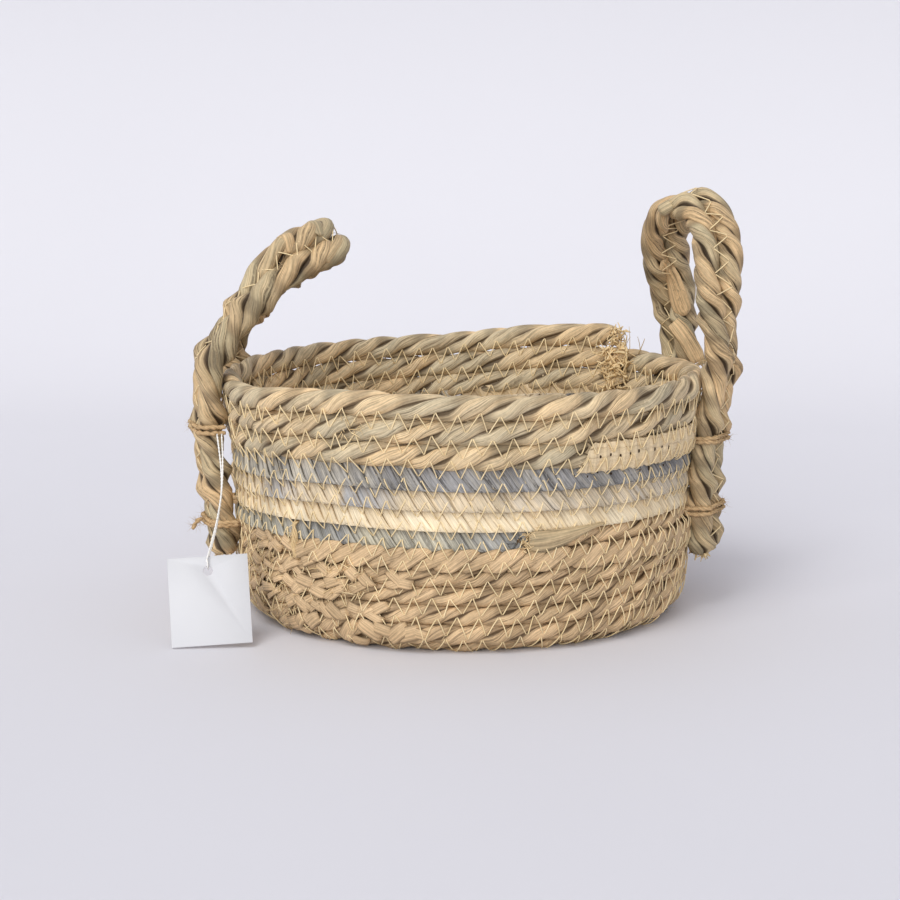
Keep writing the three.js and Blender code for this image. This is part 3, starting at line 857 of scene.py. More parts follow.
def band_strand(band, row, strand):
    """Rings of one strand of a colour run, with their tones, the first length and the painted shade of its grooves.
    """
    first, last = band_span(band, end_stagger[strand])
    length = np.linspace(first, last, int((last - first) / row["step"]))
    turns = coil_turns(length)
    squeeze = np.clip((np.interp(turns, turn_grid, radius_grid) + 0.004) / 0.012, 0.25, 1)[:, None]
    from_end = np.minimum(length - first, last - length)
    least = np.where((band == "rim") & (length < 0.05), blunt_end, thin_end)
    thin = (least + (1 - least) * smooth_share(0, end_taper, from_end))[:, None]
    across, through, shade_depths, phase = (twisted_rings if row["twisted"] else flat_rings)(row, length, strand)
    middle_across = across.mean(axis=1, keepdims=True)
    middle_through = through.mean(axis=1, keepdims=True)
    across = middle_across + (across - middle_across) * thin + row["up"]
    through = middle_through + (through - middle_through) * thin + row["out"] + row["lean"] * across
    rings = on_coil(turns[:, None], across * squeeze, through)
    rings[..., 2] = np.maximum(rings[..., 2], 0)
    tones = leaf_tones(phase, row["seed"] * 10 + strand)
    if band in tone_runs:
        stops = np.array(tone_runs[band])
        tones = np.clip(np.interp(turns, stops[:, 0], stops[:, 1]) + 0.3 * (tones - 0.5), 0, 1)
    return rings, tones, first, shade_depths


for band, (piece_name, node, material, slot) in band_pieces.items():
    row = rows[band_row[band]]
    groups = [(0,), (1,), (2,)] if band == "lower" else [range(len(row["sizes"]))]
    for group in groups:
        tubes = Tubes()
        for strand in group:
            tubes.add(*band_strand(band, row, strand))
        name = piece_name if len(group) > 1 else f"{piece_name}_strand_{group[0] + 1}"
        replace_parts(tubes.to_object(name, material, "basket", slot), node)

# %% [markdown]
# ## Cream cover strip and the cut strand
# Where the tan rows meet the coloured ones the maker laid one broad cream strip flat over the third row.
# It starts with a slanted cut, lies in upright ripples and shows a line of needle holes. Further down a
# greenish strand ends over the grey row with a blunt frayed cut. The strip is a thin sheet that follows
# the row, and the strand is a flat tube that gets thin to the right.

# %% Cover strip
cover_turns = (2.701, 2.890)
cover_low = -0.0080
cover_high = 0.0058
cover_slant = 0.0065
cover_ripple = 0.0058
sheet_thickness = 0.0005


def cover_reach(length, across):
    """How far the cover strip stands out, with its upright ripples and soft edges."""
    share = (across - cover_low) / (cover_high - cover_low)
    bulge = 0.0040 + 0.0012 * np.sin(math.pi * np.clip(share, 0, 1))
    ripple = np.sin(2 * math.pi * length / cover_ripple + 1.1 * wander(length, 71, 0.013) + 90 * across)
    fine = 2 * math.pi * length / (0.31 * cover_ripple) + 1.7 * wander(length, 73, 0.009)
    fine = np.sin(fine - 140 * across)
    return bulge + 0.00038 * ripple + 0.00014 * fine


def cover_rings():
    """Closed sections of the strip, one at each length, from its outer face round to its inner face."""
    first, last = coil_length(cover_turns[0]), coil_length(cover_turns[1])
    length = np.linspace(first, last, int((last - first) / 0.0005))
    across = np.linspace(cover_low, cover_high, 25)
    edge = 0.0004 * wander(length, 75, 0.009)[:, None]
    steps = (across - cover_low) / (cover_high - cover_low)
    start = first + cover_slant * np.round(steps * 4 + 0.2) / 4
    place = np.maximum(length[:, None], start[None] + 0.00003 * np.arange(len(length))[:, None])
    level = across[None] + edge * np.sign(steps - 0.5)[None] + 0 * place
    outer = np.stack([place, level, cover_reach(place, across[None])])
    inner = outer.copy()
    inner[2] -= sheet_thickness
    both = np.concatenate([outer, inner[:, :, ::-1]], axis=2)
    return on_coil(coil_turns(both[0]), both[1], both[2]), length


cover_tubes = Tubes()
rings, length = cover_rings()
cover_tubes.add(rings, 0.35 + 0.35 * wander(length, 77, 0.012), 0.0)
cover_tubes.to_object("cream_cover_strip", cream_leaf, "basket", "cream_leaf")

# %% Cut strand over the grey row
cut_turns = (6.668, 6.722)
cut_half_heights = (0.0058, 0.0008)
cut_levels = (-0.0008, 0.0058)
cut_depth = 0.0019
cut_sides = 24

share = np.linspace(0, 1, 60)[:, None]
turns = cut_turns[0] + (cut_turns[1] - cut_turns[0]) * share
around = 2 * math.pi * np.arange(cut_sides)[None] / cut_sides
half_height = cut_half_heights[0] + (cut_half_heights[1] - cut_half_heights[0]) * smooth_share(0.15, 1, share)
half_height = half_height * (0.72 + 0.28 * smooth_share(0, 0.08, share))
level = cut_levels[0] + (cut_levels[1] - cut_levels[0]) * smooth_share(0.1, 1.1, share)
folds = 1 - 0.12 * np.cos(5 * around + 2 * share) ** 2
across = level + half_height * np.cos(around) * folds
outward = 0.0042 + 0.0006 * np.sin(math.pi * share) + cut_depth * np.sin(around) * folds
cut_tubes = Tubes()
# Painted shade darkens the cut strand in its folds.
cut_tubes.add(on_coil(turns, across, outward), 0.62, 0.0, 0.25 * (1 - folds) / 0.12)
cut_tubes.to_object("cut_strand", handle_leaf, "basket", "tan_leaf")

# %% [markdown]
# ## Flat strips and the darned patch
# On the first tan row below the coloured ones the leaf is laid on as broad flat strips, each slanted and
# tucked under the next. At the lower left the maker mended the rows with many short strips that cross at
# all angles. Both are short flat bands that follow the wall and dive into the row at their ends.

# %% Strips on the wall
strip_limit = 0.0057
slant_turns = (7.512, 7.93)
slant_pitch = 0.0105
slant_span = 0.021
slant_reach = 0.0049
slant_kinds = (
    dict(angles=(20, 28), width=0.0068, lift=0.0, tones=(0.6, 1.0)),
    dict(angles=(34, 42), width=0.0080, lift=0.0004, tones=(0.0, 0.3)),
)
darn_angles = (10, 50)
darn_limits = dict(
    level=(-0.004, 0.004), span=(0.006, 0.013), width=(0.0032, 0.0065), outward=(0.0041, 0.0049), tone=(0, 1)
)
darn_first = dict(row=7, spread=(0.46, 0.50), count=6)
darn_rows = (8, 9, 10, 11)
darn_spread = (0.45, 0.50, 0.61)
darn_count = 15


def strip_on_wall(tubes, turn, level, angle, span, width, outward, tone):
    """A short flat strip on the wall at an angle, trimmed at the edges of its row."""
    along = span * np.linspace(-0.5, 0.5, 9)[:, None]
    around = 2 * math.pi * np.arange(12)[None] / 12
    wide = np.sign(np.cos(around)) * np.abs(np.cos(around)) ** 0.7
    length = coil_length(turn) + math.cos(angle) * along - math.sin(angle) * wide * width / 2
    across = level + math.sin(angle) * along + math.cos(angle) * wide * width / 2
    across = np.clip(across, -strip_limit, strip_limit)
    reach = outward - 0.0016 * (2 * along / span) ** 6 + 0.00045 * np.sin(around) - 0.0002 * wide
    # Painted shade: the strip is darker at its edges, where it meets the leaf beside it.
    shade_depths = 0.8 * smooth_share(0.8, 1.0, np.abs(wide)) + 0 * along
    tubes.add(on_coil(coil_turns(length), across, reach), tone, 0.0, shade_depths)


strip_draw = np.random.default_rng(47)
slant_tubes = Tubes()
for number, place in enumerate(np.arange(*coil_length(slant_turns), slant_pitch)):
    kind = slant_kinds[number % 2]
    angle = math.radians(strip_draw.uniform(*kind["angles"]))
    tone = strip_draw.uniform(*kind["tones"])
    reach = slant_reach + kind["lift"]
    strip_on_wall(slant_tubes, coil_turns(place), 0.0, angle, slant_span, kind["width"], reach, tone)
slant_tubes.to_object("flat_leaf_strips", lower_leaf, "basket", "tan_leaf")

darn_tubes = Tubes()


def darned_strip(turn):
    """One short strip of the patch, with its place, size and tone drawn between their limits."""
    angle = math.radians(strip_draw.uniform(*darn_angles) * strip_draw.choice((-1, 1)))
    drawn = {key: strip_draw.uniform(*limits) for key, limits in darn_limits.items()}
    strip_on_wall(darn_tubes, turn, angle=angle, **drawn)


for number in range(darn_first["count"]):
    darned_strip(darn_first["row"] + strip_draw.uniform(*darn_first["spread"]))
for row_turn in darn_rows:
    for number in range(darn_count):
        darned_strip(row_turn + strip_draw.triangular(*darn_spread))
darn_tubes.to_object("darned_leaf_strips", lower_leaf, "basket", "tan_leaf")

# %% [markdown]
# ## Loose fibres
# Palm leaf splits into fibres wherever it is cut, so the end of the coil is a brush of chopped bits that
# hang down inside the basket. A few rows lower on the outside the leaf is frayed too, and single hairs
# stand out all over. Each fibre is a thin bent tube with few sides.

# %% Fibres on the coil
# Headings say how much the fibres of a patch point up, along the row and away from it.
splayed = (1.0, 1.0, 0.4)
chopped = (0.5, 1.2, 0.3)
upstanding = (2.0, 0.8, 0.2)
beside_cut = (0.6, 1.2, 0.4)
close_lying = (1.0, 1.0, 0.15)
half_lifted = (1.0, 1.0, 0.3)
outstanding = (1.0, 1.0, 1.0)
round_wrap = (1.5, 0.5, 0.2)
fray_draw = np.random.default_rng(5)


def loose_fibre(tubes, start, way, bend, span, radius, draw):
    """One bent fibre that starts at a point, heads a way and curls to one side."""
    share = np.linspace(0, 1, 6)[:, None]
    line = start + way * share * span + bend * share**2 * span
    line[:, 2] = np.maximum(line[:, 2], radius)
    width = radius * (1.0 - 0.5 * share[:, 0])
    tubes.add(round_rings(line, width, 5, unit(np.cross(way, bend) + 1e-6)), draw.uniform(0, 1))


def fibres_on_coil(tubes, turns, across, outward, count, span, radius, heading):
    """Fibres that start at random places in a patch of the wall, within limits of place and size."""
    draw = fray_draw
    upward, along, away = heading
    for _ in range(count):
        turn, level, reach = [np.array(draw.uniform(*limits)) for limits in (turns, across, outward)]
        start = on_coil(turn, level, reach)
        ahead = unit(on_coil(turn + 0.002, level, reach) - start)
        normal = unit(on_coil(turn, level, reach + 0.001) - start)
        upright = np.cross(normal, ahead)
        weights = draw.normal(size=3) * (along, upward, away)
        leaving = normal * abs(weights[2]) * np.sign(outward[1] + 1e-9)
        way = unit(ahead * weights[0] + upright * weights[1] + leaving)
        bend = unit(np.cross(way, draw.normal(size=3))) * draw.uniform(0.0, 0.5)
        loose_fibre(tubes, start, way, bend, draw.uniform(*span), draw.uniform(*radius), draw)


# Each patch: limits of turn, of level and of reach, the count, and limits of length and of radius.
fray_patches = {
    "coil_end_fray": [
        ((0.978, 1.006), (-0.009, 0.006), (-0.0066, -0.0040), 90, (0.003, 0.008), (0.0003, 0.0009), splayed),
        ((1.982, 2.004), (-0.004, 0.006), (-0.0062, -0.0040), 40, (0.003, 0.008), (0.0003, 0.0008), splayed),
        ((-0.004, 0.006), (-0.005, 0.0042), (-0.0045, 0.003), 90, (0.002, 0.005), (0.0003, 0.0007), chopped),
        ((0.972, 0.990), (0.001, 0.006), (-0.004, -0.0005), 7, (0.008, 0.012), (0.0002, 0.0004), upstanding),
    ],
    "wall_fray": [
        ((6.664, 6.672), (-0.005, 0.004), (0.0036, 0.0056), 46, (0.0015, 0.004), (0.0002, 0.0004), beside_cut),
        ((8.525, 8.56), (-0.003, 0.004), (0.0038, 0.0046), 34, (0.003, 0.008), (0.00016, 0.0004), close_lying),
        ((9.53, 9.56), (-0.002, 0.004), (0.0038, 0.0046), 26, (0.003, 0.007), (0.00016, 0.0004), close_lying),
        ((1.545, 1.56), (-0.003, 0.004), (0.0042, 0.0048), 16, (0.003, 0.008), (0.00015, 0.0003), close_lying),
        *(
            ((turn, turn + 0.05), (-0.004, 0.004), (0.0034, 0.0044), 26, (0.002, 0.006), (0.0001, 0.0003),
             half_lifted)
            for turn in (7.44, 8.44, 9.45, 10.46, 11.47)
        ),
        ((0.02, 12.3), (-0.004, 0.004), (0.0036, 0.005), 260, (0.0015, 0.004), (0.00005, 0.0001), outstanding),
    ],
}
for name, patches in fray_patches.items():
    fray_tubes = Tubes()
    for patch in patches:
        fibres_on_coil(fray_tubes, *patch)
    fray_tubes.to_object(name, fray_finish, "basket")

# %% Frayed wrap over the eighth row
wrap_turn = 7.502
wrap_levels = (0.0125, -0.0065)
wrap_strands = 5
wrap_spread = 0.0022
wrap_sway = 0.0012
wrap_waves = 1.4
wrap_radius = 0.00055
wrap_tubes = Tubes()
share = np.linspace(0, 1, 26)
for strand in range(wrap_strands):
    wave = 2 * math.pi * share * wrap_waves + strand * 1.3
    turns = wrap_turn + wrap_spread * (strand / (wrap_strands - 1) - 0.5) + wrap_sway * np.sin(wave)
    across = wrap_levels[0] + (wrap_levels[1] - wrap_levels[0]) * share
    outward = 0.0046 + 0.0005 * np.cos(wave) - 0.003 * smooth_share(0.88, 1, np.abs(2 * share - 1))
    wrap_tubes.add(round_rings(on_coil(turns, across, outward), wrap_radius, 6, (0.0, -1.0, 0.0)), 0.8)
near_wrap = (wrap_turn - 0.004, wrap_turn + 0.004)
fibres_on_coil(
    wrap_tubes, near_wrap, (-0.005, 0.011), (0.0044, 0.005), 24, (0.003, 0.006), (0.0001, 0.0002), round_wrap
)
wrap_tubes.to_object("frayed_wrap", fray_finish, "basket")

# %% Needle holes as painted shade
hole_sides = 10
cover_holes = 9
row_holes = 10
hole_tubes = Tubes()


def needle_hole_shade(turn, across, outward, wide, high):
    """A dark oval of painted shade that stands for a hole: a thin flat plug that lies on the leaf."""
    around = 2 * math.pi * np.arange(hole_sides) / hole_sides
    span = wide / (2 * math.pi * 0.112)
    rings = []
    for size, lift in ((0.5, 0.0001), (1.0, 0.0), (1.0, -0.0006)):
        levels = across + high * size * np.sin(around)
        rings.append(on_coil(turn + span * size * np.cos(around), levels, np.full(hole_sides, outward + lift)))
    hole_tubes.add(np.array(rings), 0.5)


for number in range(cover_holes):
    turn = cover_turns[0] + 0.016 + number * 0.0082
    level = cover_high - 0.0064 + 0.0006 * math.sin(number * 2.1)
    reach = float(cover_reach(coil_length(turn), level)) + 0.0002
    needle_hole_shade(turn, level, reach, 0.00055, 0.00075 + 0.0002 * math.sin(number * 3.3))
for number in range(row_holes):
    turn = 3.70 + number * 0.0095 + 0.001 * math.sin(number * 2.7)
    level = 0.0005 + 0.0012 * math.sin(number * 4.1)
    reach = float(row_reach(rows["flat"], coil_length(np.array([turn])), np.array([level]), 1)[0])
    needle_hole_shade(turn, level, reach, 0.0005, 0.0009 + 0.0004 * math.sin(number * 1.9))
hole_tubes.to_object("needle_hole_shades", hole_shade_finish, "basket")

# %% [markdown]
# ## Sewing between the rows
# A thread zigzags over every seam, outside and inside. Each stitch lies on the strands, so its height
# is worked out from the same formulas as the rows, and it dives into the leaf at each needle hole.

# %% Zigzag stitches
stitch_pitch = 0.0089
stitch_reach = 0.0046
stitch_radius = 0.00030
stitch_dive = 0.0010
stitch_shares = np.array([0.0, 0.10, 0.24, 0.38, 0.50, 0.62, 0.76, 0.90])


def pulled_tight(heights):
    """Heights of a thread pulled tight over bumps: the bridging line over each row of heights."""
    count = heights.shape[1]
    tight = heights.copy()
    for first in range(count):
        for last in range(first + 2, count):
            for between in range(first + 1, last):
                start, end = stitch_shares[first], stitch_shares[last]
                share = (stitch_shares[between] - start) / (end - start)
                bridge = heights[:, first] * (1 - share) + heights[:, last] * share
                tight[:, between] = np.maximum(tight[:, between], bridge)
    return tight


def zigzag(first, last, pitch, reach, seed):
    """Lengths and levels of the points of a zigzag, with the needle holes drifting a little."""
    count = int((last - first) / (pitch / 2))
    hole = first + (last - first) * np.arange(count + 1) / count
    hole = hole + 0.0011 * wander(hole, seed, 0.013)
    edge = np.where(np.arange(count + 1) % 2 == 0, 1.0, -1.0)
    level = edge * reach * (1 + 0.18 * wander(hole, seed + 10, 0.017))
    length = hole[:-1, None] + (hole[1:] - hole[:-1])[:, None] * stitch_shares
    across = level[:-1, None] + (level[1:] - level[:-1])[:, None] * stitch_shares
    return length, across


def row_surface(turns, across, side):
    """Outward reach of the rows at turns, measured at a place across the row."""
    reach = np.full(np.shape(turns), -0.01 * side)
    length = coil_length(turns)
    for band, (first, last) in splices.items():
        inside = (turns >= first) & (turns < last)
        if np.any(inside):
            reach[inside] = row_reach(rows[band_row[band]], length[inside], across[inside], side)
    if side > 0:
        covered = (turns > cover_turns[0]) & (turns < cover_turns[1])
        covered &= (across > cover_low) & (across < cover_high)
        reach = np.where(covered, np.maximum(reach, cover_reach(length, across) + 0.0004), reach)
        slanted = (turns > slant_turns[0]) & (turns < slant_turns[1]) & (np.abs(across) < strip_limit)
        reach = np.where(slanted, np.maximum(reach, slant_reach + 0.0008), reach)
    return reach


def sew_rows(name, first_turn, last_turn, side):
    """The zigzag thread over one seam of the coil, on its outside (side 1) or inside (side -1)."""
    first, last = coil_length(first_turn), coil_length(last_turn)
    length, across = zigzag(first, last, stitch_pitch, stitch_reach, 11 + side)
    turns = coil_turns(length)
    half_pitch = (place_of(turns) - place_of(turns + 1)) / 2
    upper = row_surface(turns, across - half_pitch, side)
    lower = row_surface(turns + 1, across + half_pitch, side)
    reach = pulled_tight(np.maximum(side * upper, side * lower) + stitch_radius * 0.6)
    reach[:, 0] -= stitch_dive
    outward, turns, level = side * reach.ravel(), turns.ravel(), (across - half_pitch).ravel()
    points = on_coil(turns, level, outward)
    facing = unit(on_coil(turns, level, outward + 0.001) - points)
    tubes = Tubes()
    tubes.add(round_rings(points, stitch_radius, 5, facing), 0.5 + 0.4 * wander(length.ravel(), 31, 0.02))
    tubes.to_object(name, stitch_finish, "basket")


wall_end = 12.2
for name, first_turn, last_turn, side in (
    ("outer_wall_stitches", 0.012, wall_end, 1),
    ("inner_wall_stitches", 0.012, wall_end, -1),
    ("outer_base_stitches", wall_end, total_turns - 1.3, 1),
    ("inner_base_stitches", wall_end, total_turns - 1.3, -1),
):
    sew_rows(name, first_turn, last_turn, side)

# %% [markdown]
# ## Handle straps
# A handle is two ropes side by side. It runs up the outside of the wall, turns so that both ropes
# face outwards over the loop, and comes down again. Below the hinge it rides on the basket and above
# it on the handle, and the leaf bends smoothly between the two.

# %% Path of a strap
strap_thickness = 0.0126
seat_clearance = 0.0006
handle_angle = 7.5
leg_foot_height = 0.0285
hinge_height = top_height + 0.0026
rope_offset = 0.0058
rope_radius = 0.0062
bow_share = 27 / 4
path_step = 0.0015
smoothing = 15
seam_pitch = 0.0105
seam_reach = 0.0040
handles = {
    "left": dict(side=-1, lean=47.5, sways=(0.002, 0.002), bow=0.0055, rise=0.0735, stands=(-0.001, 0.006),
                 ties=(0.090, 0.044), spreads=(15, 15), lay=0.046, twist=(0.08, 0.36), leg_turn=11,
                 hang=0.0045, swell=0.10),
    "right": dict(side=1, lean=5, sways=(0.010, 0.0075), bow=-0.002, rise=0.068, stands=(0.002, 0.0),
                  ties=(0.085, 0.051), spreads=(15, 19), lay=0.043, twist=(-0.03, 0.22), leg_turn=18,
                  hang=0.0, swell=0.0),
}


def wall_outer(height, angle):
    """Radius of the outside of the wall at a height, towards an angle in degrees."""
    level = height / (1 - dip_share(np.radians(angle)))
    wall = profile_points[:, 1] >= base_height + base_corner_radius
    radius = np.interp(level, profile_points[wall, 1], profile_points[wall, 0])
    return (radius + braid_thickness / 2) * math.cos(math.pi / 24)


def leg_line(handle, to_rear):
    """Points of a leg from its foot to the hinge, with the way it faces and the way to the loop's middle."""
    middle = handle_angle if handle["side"] > 0 else 180 - handle_angle
    angle = middle + handle["side"] * to_rear * handle["spreads"][0 if to_rear < 0 else 1]
    stand = handle["stands"][0 if to_rear < 0 else 1]
    height = np.linspace(leg_foot_height, hinge_height - strap_thickness / 2, 24)
    tied = handle["ties"][0] + 0.005
    radius = wall_outer(np.minimum(height, top_height), angle) + seat_clearance + strap_thickness / 2
    radius = radius + stand * smooth_share(tied, height[-1], height)
    if to_rear < 0:
        radius = radius + handle["hang"] * np.exp(-(((height - 0.078) / 0.030) ** 2))
    outward = np.array([math.cos(math.radians(angle)), math.sin(math.radians(angle)), 0])
    sideways = np.array([-outward[1], outward[0], 0]) * (-to_rear * handle["side"])
    points = outward[None] * radius[:, None]
    points[:, 2] = height
    return points, np.tile(outward, (len(height), 1)), np.tile(sideways, (len(height), 1))


def along_lengths(where, length, values):
    """Values that are given along a path, taken at other lengths of it."""
    return np.stack([np.interp(where, length, values[:, i]) for i in range(3)], 1)


def smoothed(values):
    """Values along a path, smoothed except at its two ends."""
    window = np.hanning(smoothing)
    window /= window.sum()
    end = smoothing // 2
    padded = np.vstack([values[:1].repeat(end, 0), values, values[-1:].repeat(end, 0)])
    inner = np.stack([np.convolve(padded[:, i], window, "valid") for i in range(3)], 1)[end:-end]
    return np.vstack([values[:end], inner, values[-end:]])


def strap_path(handle):
    """Middle line of a strap from the front foot to the rear foot, with its across and through ways."""
    front, front_out, front_in = leg_line(handle, -1)
    rear, rear_out, rear_in = leg_line(handle, 1)
    first, last = front[-1] * (1, 1, 0), rear[-1] * (1, 1, 0)
    span = np.linalg.norm(last - first) / 2
    centre = (first + last) / 2 + (0, 0, hinge_height)
    heading = math.atan2(first[0] - last[0], last[1] - first[1])
    lean = Matrix.Rotation(-handle["side"] * math.radians(handle["lean"]), 3, "Y")
    turned = np.array(Matrix.Rotation(heading, 3, "Z") @ lean)
    share = np.linspace(0, 1, 61)
    turn = math.pi * share
    swing = np.where(turn < math.pi / 2, *handle["sways"]) * np.sin(2 * turn) * np.sin(turn)
    swing = swing + bow_share * handle["bow"] * np.sin(turn) ** 2 * (1 - np.sin(turn))
    loop = np.stack([handle["side"] * swing, -span * np.cos(turn), handle["rise"] * np.sin(turn)], 1)
    along = unit(np.stack([np.zeros_like(turn), span * np.sin(turn), handle["rise"] * np.cos(turn)], 1))
    inward = np.stack([np.zeros_like(turn), along[:, 2], -along[:, 1]], 1)
    leg_turn = math.radians(handle["leg_turn"])
    first_turn = np.where(share < 0.5, leg_turn, 0)
    twist = first_turn + (math.pi / 2 - first_turn) * smooth_share(*handle["twist"], np.minimum(share, 1 - share))
    away = np.array([handle["side"], 0.0, 0.0])
    across = inward * np.cos(twist)[:, None] + away * np.sin(twist)[:, None]
    loop, across = loop @ turned.T + centre, across @ turned.T
    front_across = front_in * math.cos(leg_turn) + front_out * math.sin(leg_turn)
    front = front + front_out * rope_offset * math.sin(leg_turn)
    points = np.vstack([front, loop[3:-3], rear[::-1]])
    across = np.vstack([front_across, across[3:-3], rear_in[::-1]])
    length = path_lengths(points)
    even = np.linspace(0, length[-1], int(length[-1] / path_step))
    points, across = (smoothed(smoothed(along_lengths(even, length, values))) for values in (points, across))
    forward = along_path(points)
    across = unit(across - forward * np.sum(across * forward, axis=1, keepdims=True))
    return points, forward, across, np.cross(forward, across)


def strap_row(handle, number):
    """The rope of one side of a strap."""
    return dict(rope_kind, lay=handle["lay"], high=0.0067, thick=0.0070, share=0.59, bold=1.0,
                seed=20 + number * 4 + handle["side"], sizes=(1.05, 0.98, 0.97))


def strap_reach(handle, where, aside, side):
    """How far the ropes of a strap reach out of one face of it, at places along and across it."""
    reach = np.full(where.shape, 0.001)
    for number, offset in enumerate((rope_offset, -rope_offset)):
        reach = np.maximum(reach, side * row_reach(strap_row(handle, number), where, aside - offset, side))
    return reach


def on_strap(strap, where, aside, outward):
    """Points at places along, across and out of a strap, with its across and through ways there."""
    points, forward, across, through = strap
    length = path_lengths(points)
    middle, sideways, facing = (along_lengths(where, length, values) for values in (points, across, through))
    return middle + sideways * aside[:, None] + facing * outward[:, None], sideways, facing


def strap_seam_rings(handle, strap, side):
    """Zigzag that joins the two ropes of a strap, on one face of it."""
    last = path_lengths(strap[0])[-1] - 0.003
    where, aside = zigzag(0.003, last, seam_pitch, seam_reach, 41 + side)
    reach = pulled_tight(strap_reach(handle, where, aside, side) + stitch_radius * 0.6)
    reach[:, 0] -= stitch_dive
    line, _, facing = on_strap(strap, where.ravel(), aside.ravel(), side * reach.ravel())
    return round_rings(line, stitch_radius, 5, unit(facing) * side)


def make_handle(name, handle):
    """Both ropes of a handle and the seam between them."""
    strap = strap_path(handle)
    points, forward, across, through = strap
    length = path_lengths(points)
    pieces = []
    for number, (braid, offset) in enumerate((("inner", rope_offset), ("outer", -rope_offset))):
        row = strap_row(handle, number)
        tubes = Tubes()
        for strand in range(3):
            aside, outward, shade_depths, phase = twisted_rings(row, length, strand)
            from_end = np.minimum(length, length[-1] - length)
            thin = 0.6 + 0.4 * smooth_share(0, 0.003, from_end) + handle["swell"] * smooth_share(0.09, 0.13, from_end)
            thin = thin[:, None]
            line = points[:, None] + across[:, None] * (aside * thin + offset)[..., None]
            rings = line + through[:, None] * (outward * thin)[..., None]
            tubes.add(rings, leaf_tones(phase, row["seed"] * 10 + strand), 0.0, shade_depths)
        piece = tubes.to_object(f"{name}_handle_{braid}_rope", handle_leaf)
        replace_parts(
            piece,
            f"{name}_front_leg_{braid}_braid",
            f"{name}_loop_{braid}_braid",
            f"{name}_rear_leg_{braid}_braid",
        )
        pieces.append(piece)
    seams = Tubes()
    for side in (1, -1):
        seams.add(strap_seam_rings(handle, strap, side), 0.5)
    pieces.append(seams.to_object(f"{name}_handle_seam", stitch_finish))
    for piece in pieces:
        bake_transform(piece)


# %% Make both handles
for name, handle in handles.items():
    make_handle(name, handle)

# %% [markdown]
# ## Leaf ends on the loops
# Where a strip of leaf runs out, its end is laid across the rope and stays visible. The left loop has two
# such bands near its apex. The right loop has a knob, a broad rough strand and a flap that stands off and
# ends in splinters. Each is a thin bent band, placed by its distance along the strap and across it.

# %% Leaf bands, knob and flap
band_thickness = 0.0022
rough_fibres = 70
knob_ends = ((0.0955, 0.0150, 0.1905), (0.1020, 0.0140, 0.1945))
knob_width = 0.0064
knob_thickness = 0.0060
flap_start = (0.1050, 0.040, 0.1335)
flap_way = (0.0130, -0.003, -0.0195)
flap_bulge = (0.0006, -0.0012, 0.0008)
flap_front = (-0.15, -1.0, 0.1)
flap_width = 0.0086
flap_thickness = 0.0009
flap_splinters = 60
hairs_per_place = 12
hairy_places = (("left", 0.150), ("left", 0.186), ("right", 0.172), ("right", 0.240))


def leaf_band(tubes, line, facing, width, thickness, tone, least=0.2):
    """A flat band along a line. At its two ends it keeps at least a share of its width."""
    share = np.linspace(0, 1, len(line))
    ends = np.clip(np.sqrt(1 - (2 * share - 1) ** 8), least, 1)[:, None, None]
    turn = 2 * math.pi * np.arange(12) / 12
    aside = unit(np.cross(along_path(line), facing))
    rings = line[:, None] + aside[:, None] * (width / 2 * np.cos(turn))[None, :, None] * ends
    rings = rings + facing[:, None] * (thickness / 2 * np.sin(turn))[None, :, None] * ends
    tubes.add(rings, tone)


def band_on_strap(tubes, name, start, end, width, lift, tone):
    """A band over the outer face of a strap. Each end is (metres along the strap, metres across it)."""
    share = np.linspace(0, 1, 14)
    where = start[0] + (end[0] - start[0]) * share
    aside = start[1] + (end[1] - start[1]) * share
    reach = strap_reach(handles[name], where, aside, 1)
    reach = np.convolve(np.pad(reach, 2, "edge"), np.ones(5) / 5, "valid") + lift
    line, sideways, facing = on_strap(strap_path(handles[name]), where, aside, reach)
    outward = unit(facing * rope_radius + sideways * (aside - np.sign(aside) * rope_offset)[:, None])
    leaf_band(tubes, line, outward, width, band_thickness, tone)
    return line


end_draw = np.random.default_rng(31)
left_ends = Tubes()
for start, end, width, lift, tone in (
    ((0.157, 0.0015), (0.160, 0.0118), 0.0085, 0.0002, 0.2),
    ((0.174, 0.0020), (0.177, 0.0118), 0.0080, 0.0004, 0.9),
    ((0.170, -0.0100), (0.186, -0.0020), 0.0060, 0.0002, 0.4),
):
    band_on_strap(left_ends, "left", start, end, width, lift, tone)
right_ends = Tubes()
rough = band_on_strap(right_ends, "right", (0.224, -0.0030), (0.256, 0.0105), 0.0105, 0.0008, 0.05)
for number in range(rough_fibres):
    place = rough[end_draw.integers(1, 12)] + end_draw.normal(size=3) * (0.0008, 0.0004, 0.0014)
    place = place + (0.0006, -0.0012, 0)
    way = unit(rough[-1] - rough[0] + end_draw.normal(size=3) * 0.014)
    bend = end_draw.normal(size=3) * 0.3
    loose_fibre(right_ends, place, way, bend, end_draw.uniform(0.001, 0.003), 0.0002, end_draw)
knob = np.linspace(*knob_ends, 9)
leaf_band(right_ends, knob, np.tile((0.0, -1.0, 0.0), (9, 1)), knob_width, knob_thickness, 0.9, 0.45)
flap_share = np.linspace(0, 1, 12)[:, None]
flap_line = np.array(flap_start) + flap_share * flap_way + np.sin(math.pi * flap_share) * flap_bulge
flap_facing = np.tile(unit(np.array(flap_front)), (12, 1))
leaf_band(right_ends, flap_line, flap_facing, flap_width, flap_thickness, 0.15, 0.8)
for number in range(flap_splinters):
    start = flap_line[-1] + np.array((0.0036, 0, 0.0024)) * end_draw.uniform(-1, 1)
    start = start + end_draw.normal(size=3) * 0.0002
    way = unit(np.array((0.55, -0.1, -0.8)) + end_draw.normal(size=3) * 0.25)
    bend = end_draw.normal(size=3) * 0.2
    loose_fibre(right_ends, start, way, bend, end_draw.uniform(0.001, 0.0034), 0.0003, end_draw)
